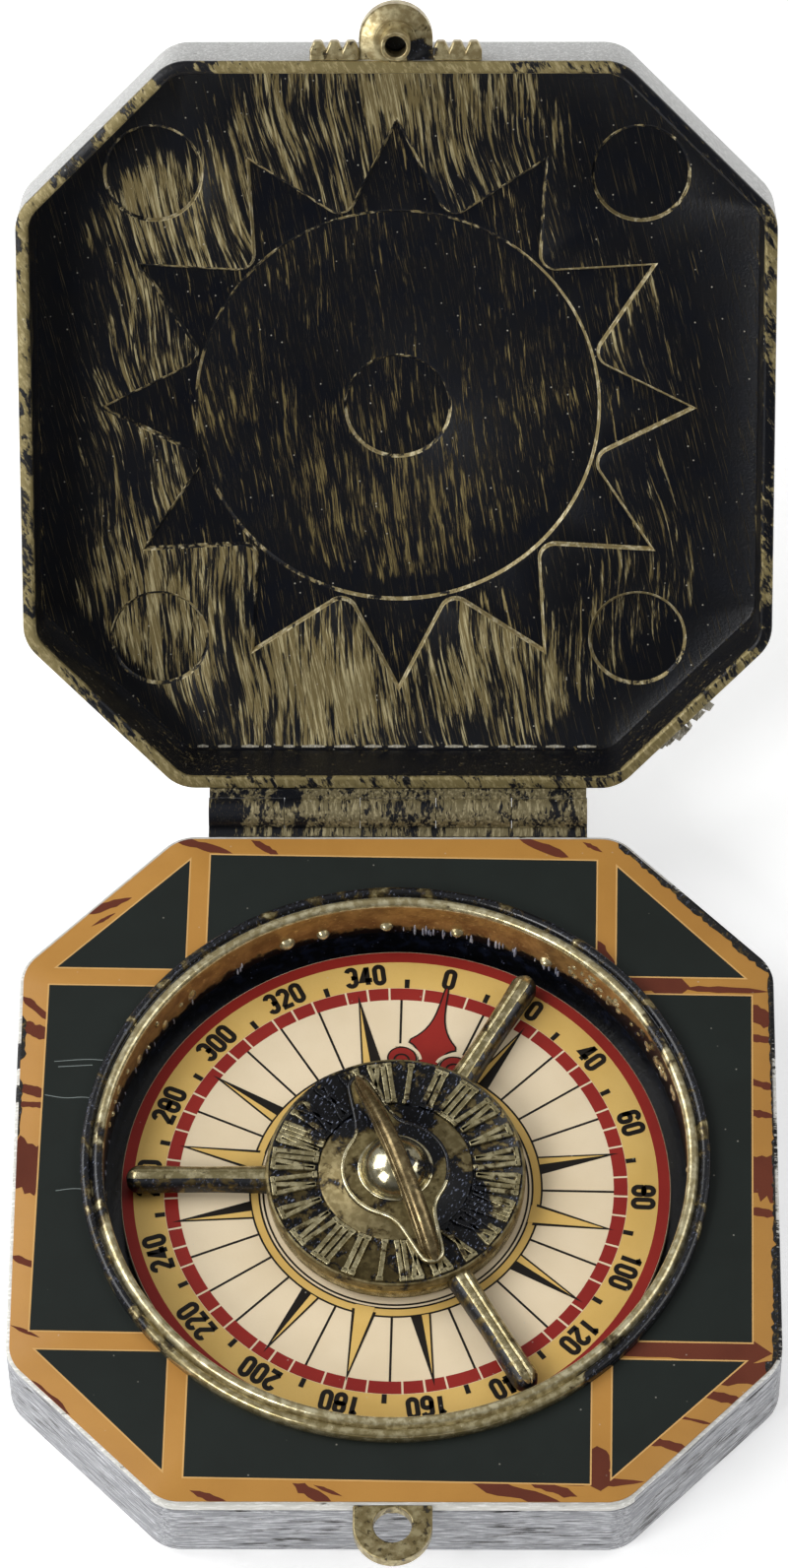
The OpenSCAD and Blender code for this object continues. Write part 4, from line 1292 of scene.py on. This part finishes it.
def hub_pieces():
    patina = spots(8.8, (-5.4, 7.2, 6, -1.7), (6.0, -3.8, 5.6, -2.1), (5, 0, 3.5, -0.8), (2, 6.4, 3.4, -1.2))
    cover_spots = spots(8.8, (-10, -3, 8, 0.3), (-3, -10.5, 7, 0.7), (9.5, 6.5, 5, 0.3))
    # lower gloss, and pale bluish painted glints in the black of the hub pieces
    gloss_and_glints = {"gloss": 0.25, "glints": "7b8298"}
    bridge(worn_brass("arm_brass", "968a62", "d0c49c", cover=1.0, rough=0.2, size=2.2),
           worn_brass("bridge_shaded_sides", "5f5233", "7d6f49", cover=0.25, size=1.2))
    hub(worn_brass("hub_brass", "776a48", "938661", "0a0b0f", 0.8, 0.38, blobs=patina, size=1.6, **gloss_and_glints),
        worn_brass("hub_dark", "5a4f33", "786b47", "08080a", 0.1, 0.3, size=0.9, blobs=patina + cover_spots,
                   **gloss_and_glints),
        worn_brass("hub_numerals", "968b66", "cdc29a", "0a0b0f", 0.92, 0.24, blobs=patina, size=1.2,
                   gloss=0.3, glints="8d94aa"))
    gnomon(worn_brass("plate_brass", "7a6c47", "9c8e64", "0a0b0f", 0.75, 0.3,
                      blobs=spots(9.6, (3.4, 2, 5, -1.2), (-3, 6.5, 3.5, -0.9)), **gloss_and_glints),
           # pale brass painted along the plate's raised edge as a highlight, darkened at the right and the
           # far end as painted shade
           worn_brass("plate_edge_highlight", "c9be96", "efe6c4", cover=1.2, rough=0.22, size=1.2,
                      blobs=spots(9.6, (7, 2.5, 9, -2.6), (-3, 9, 7, -2.2))),
           worn_brass("bow_brass", "6f5f40", "978660", "2c1a12", 0.95, 0.24,
                      blobs=spots(13, (-2.6, 7.6, 3.4, -1.0))))
    # painted reflection: the dark spots at the dome's middle and right side stand in for dark surroundings
    # mirrored in it
    dome(worn_brass("button_brass", "c2b892", "e4dcbe", "17181c", 1.3, 0.14, metal=0.95, size=1.0,
                    blobs=spots(12.2, (0.9, -0.5, 1.7, -2.6)) + spots(10.5, (3.2, -0.4, 2.4, -1.6))))


def lid_pieces():
    floor = spots(LID_FLOOR, (-22, -22, 16, 0.13), (-8, -31, 12, 0.12), (6, -31, 12, 0.1),
                  (-29, -2, 16, 0.07), (-25, 20, 15, 0.15), (-8, 30, 13, 0.3), (9, 29, 12, 0.16),
                  (34, 0, 20, -0.2), (-0.4, -34, 2.0, 0.6), (-0.7, -31.6, 1.7, 0.4), (34, -20, 14, -0.12),
                  (23, -23, 12, -0.25), (-21, -30, 7, -0.2), (-34, -12, 12, -0.15))
    # the spot at (0, 23) and the ring of spots below thin the paint inside the disc along its hinge-side
    # edge: a painted shadow under the step, along with paint the brush did not carry into the corner
    middle = spots(LID_FLOOR, (-3, 14, 12, 0.16), (8, 8, 14, 0.06), (-13, 4, 12, 0.07), (0, 23, 5.5, -0.5),
                   (2, -14, 11, -0.06))
    middle += [(polar(SUN_R - 0.4, a, LID_FLOOR), 2.8, -0.6) for a in range(-50, 51, 8)]
    # more paint on the sun's eased edges towards the right: a painted highlight where the edges face the
    # light, over the paint that dry-brushing leaves on every edge
    edge_highlights = spots(LID_FLOOR, (18, 16, 22, 0.7), (29, 5, 16, 0.5), (-4, 29, 14, 0.6), (22, -12, 15, 0.5),
                   (-18, -20, 11, 0.35), (-1, 2, 7.5, 0.35))
    chipped = spots(RIM, (-32, -30, 5, -0.5), (-22, -37, 4, -0.5), (30, -30, 15, -0.9), (37, 0, 20, -0.3),
                    (37, 20, 6, -0.3), (0, -37, 14, 0.3))
    margins = ((270, 30, 36), (225, 34, 39), (135, 32, 38), (90, 29, 35), (315, 37, 41), (45, 34, 40))
    # the lid's back and outer walls are drawn pale silver-grey: a painted reflection of the bright light on
    # their brass paint
    lid(brushed("lid_outside", 0.9, 9, 0.3, 7.0, spots(RIM + LID_DEEP, (0, 0, 47, -0.42)), "bcbcba",
                "e6e6e4"),
        brushed("lid_rim", 0.66, 30, 0.5, 1.6, chipped, "867950", "b0a277"),
        brushed("lid_floor", 0.45, 11, 0.24, 5.5, floor, "83744c", "cfc296", 0.06, sway=7, margins=margins,
                gloss=0.28),
        brushed("lid_rays", 0.3, 8, 0.22, 4.0, flecks=0.08, gloss=0.2),
        brushed("lid_disc", 0.37, 7, 0.15, 3.4, middle, "6f613e", "a2925f", 0.06, sway=4, gloss=0.28),
        brushed("lid_edges", 0.5, 0, 0.8, 2.0, edge_highlights, "9d8d62", "e6dab4"))
    # the flash is painted near-white: a painted highlight on its edges
    lid_flash(brushed("lid_flash", 1.0, 0, 0.3, 1.0, paint="b5ae9a", light="efece2"))


def fittings():
    """Hinge leaves, latch, screws and the CAD pieces that are shown as they are."""
    cover_spots = spots(12, (-17.5, 39, 3.2, -0.75), (-11, 41, 2.0, -0.8))
    # a row of spots along the top of the barrel adds paint, a painted highlight along the barrel
    cover_spots += [((x, AXIS.y / MM, 12.5), 3, 0.1) for x in range(-10, 19, 4)]
    leaf = brushed("hinge_leaf", 0.59, 0, 0.36, 2.6, cover_spots, "776d4f", "b0a480")
    # the first spot blackens the stud's end: a painted shade in its hole
    latch = worn_brass("latch_brass", "a39268", "d0c398", cover=0.95, size=1.2,
                       blobs=spots(12.3, (0, -39.5, 1.6, -7)) + spots(11.2, (2.3, -38.2, 2.1, -2.6)))
    # darker at both sides where the eyelet meets the case: black paint there together with painted shade in
    # the corners
    ear = worn_brass("eyelet_brass", "8a7b54", "b5a880", cover=0.85, size=1.0,
                     blobs=spots(9, (-3.4, -38.2, 2.3, -1.8), (3.4, -38.2, 2.3, -1.8)))
    iron = steel("iron")
    turned_brass = polished("turned_brass", "b8995a", "84693a")
    eased_copy("case_hinge_leaf", "case_leaf", [leaf], "case", "antique_shell",
               middles=[KNUCKLE_STEP * i for i in (-2, 0, 2)])
    eased_copy("lid_hinge_leaf", "lid_leaf", [leaf], "lid", "antique_shell",
               middles=[KNUCKLE_STEP * i for i in (-1, 1)])
    eased_copy("latch_eyelet", "eyelet", [ear], "case", "latch_brass", bevel=0.15)
    eased_copy("case_screws", "screws", [iron], "case", "steel", bevel=0.06)
    for name, bevel in (("tab", 0.2), ("stud", 0.12), ("trims", 0.18)):
        eased_copy("latch_" + name, name, [latch], "lid", "latch_brass", LID_PLACE, bevel)
    kept = {"dial_well": gloss_black("well_black"), "centre_post": turned_brass,
            "card_bushing": turned_brass, "card_magnets": iron,
            # the hinge pin is painted dark so the knuckle gaps read dark: painted shade between the parts
            "hinge_pin": worn_brass("pin_gap_shade", "4c4430", "6a6046", cover=0.3, size=1.5)}
    for node, material in kept.items():
        mesh = frame["nodes"][node].data
        for i in range(len(mesh.materials)):
            mesh.materials[i] = material


# ---------------------------------------------------------------- camera, lights and floor
def aim(obj, location, target, roll=0.0):
    """Points an object's -Z at a target, both in millimetres."""
    back = (Vector(location) - Vector(target)).normalized()
    right = Vector((0, 0, 1)).cross(back).normalized()
    up = back.cross(right)
    basis = Matrix((right, up, back)).transposed().to_4x4()
    obj.matrix_world = Matrix.Translation(Vector(location) * MM) @ basis @ Matrix.Rotation(roll, 4, "Z")


def lamp(name, location, size, power):
    data = bpy.data.lights.new(name, "AREA")
    data.shape = "RECTANGLE"
    data.size, data.size_y = size[0] * MM, size[1] * MM
    data.energy = power
    obj = bpy.data.objects.new(name, data)
    bpy.context.scene.collection.objects.link(obj)
    aim(obj, location, (0, 20, 20))


def studio():
    data = bpy.data.cameras.new("camera")
    data.sensor_fit = "VERTICAL"
    data.sensor_height = 36
    data.lens = 166.2
    camera = bpy.data.objects.new("camera", data)
    bpy.context.scene.collection.objects.link(camera)
    bpy.context.scene.camera = camera
    distance, height, side = 732.8, math.radians(57.72), math.radians(1.25)
    target = Vector((-0.43, 43.7, FACE))
    away = Vector((math.sin(side) * math.cos(height), -math.cos(side) * math.cos(height), math.sin(height)))
    aim(camera, target + away * distance, target, math.radians(-1.01))

    lamp("key", (-430, 160, 420), (420, 420), 1.9)
    lamp("fill", (470, 60, 420), (300, 420), 0.9)
    lamp("front", (-400, -360, 420), (260, 260), 2.0)
    world = bpy.data.worlds.new("studio")
    bpy.context.scene.world = world
    world.use_nodes = True
    tree = world.node_tree
    direction = tree.nodes.new("ShaderNodeTexCoord")
    toward = tree.nodes.new("ShaderNodeVectorMath")
    toward.operation = "DOT_PRODUCT"
    toward.inputs[1].default_value = (0, 0.6, 0.8)
    bright = tree.nodes.new("ShaderNodeMapRange")
    for name, value in (("From Min", -0.35), ("From Max", 0.9), ("To Min", 0.03), ("To Max", 0.34)):
        bright.inputs[name].default_value = value
    tree.links.new(direction.outputs["Generated"], toward.inputs[0])
    tree.links.new(toward.outputs["Value"], bright.inputs["Value"])
    tree.links.new(bright.outputs[0], tree.nodes["Background"].inputs["Strength"])
    tree.nodes["Background"].inputs["Color"].default_value = (1, 1, 1, 1)
    bpy.context.scene.view_settings.view_transform = "Standard"

    s = Shape()
    rings = s.rings(lambda r: circle(r, 96), ((2500, -0.02), (2460, -0.02), (2420, -0.01)))
    s.skin(rings)
    s.fill([rings[-1]])
    bmesh.ops.scale(s.bm, vec=(MM, MM, MM), verts=s.bm.verts[:])
    mesh = bpy.data.meshes.new("floor")
    s.bm.to_mesh(mesh)
    s.bm.free()
    mesh.materials.append(plain_floor("floor"))
    floor = bpy.data.objects.new("floor", mesh)
    bpy.context.scene.collection.objects.link(floor)


studio()
case_pieces()
hub_pieces()
compass_card(printed("card_cream", "f0debe", "e4d0ac"), printed("card_yellow", "e4bf70", "d6ae5c"),
             printed("card_red", "9a2b23", "841f1d"), printed("card_ink", "17130f", "241d16"),
             printed("card_board", "8c7d63"))
lid_pieces()
fittings()
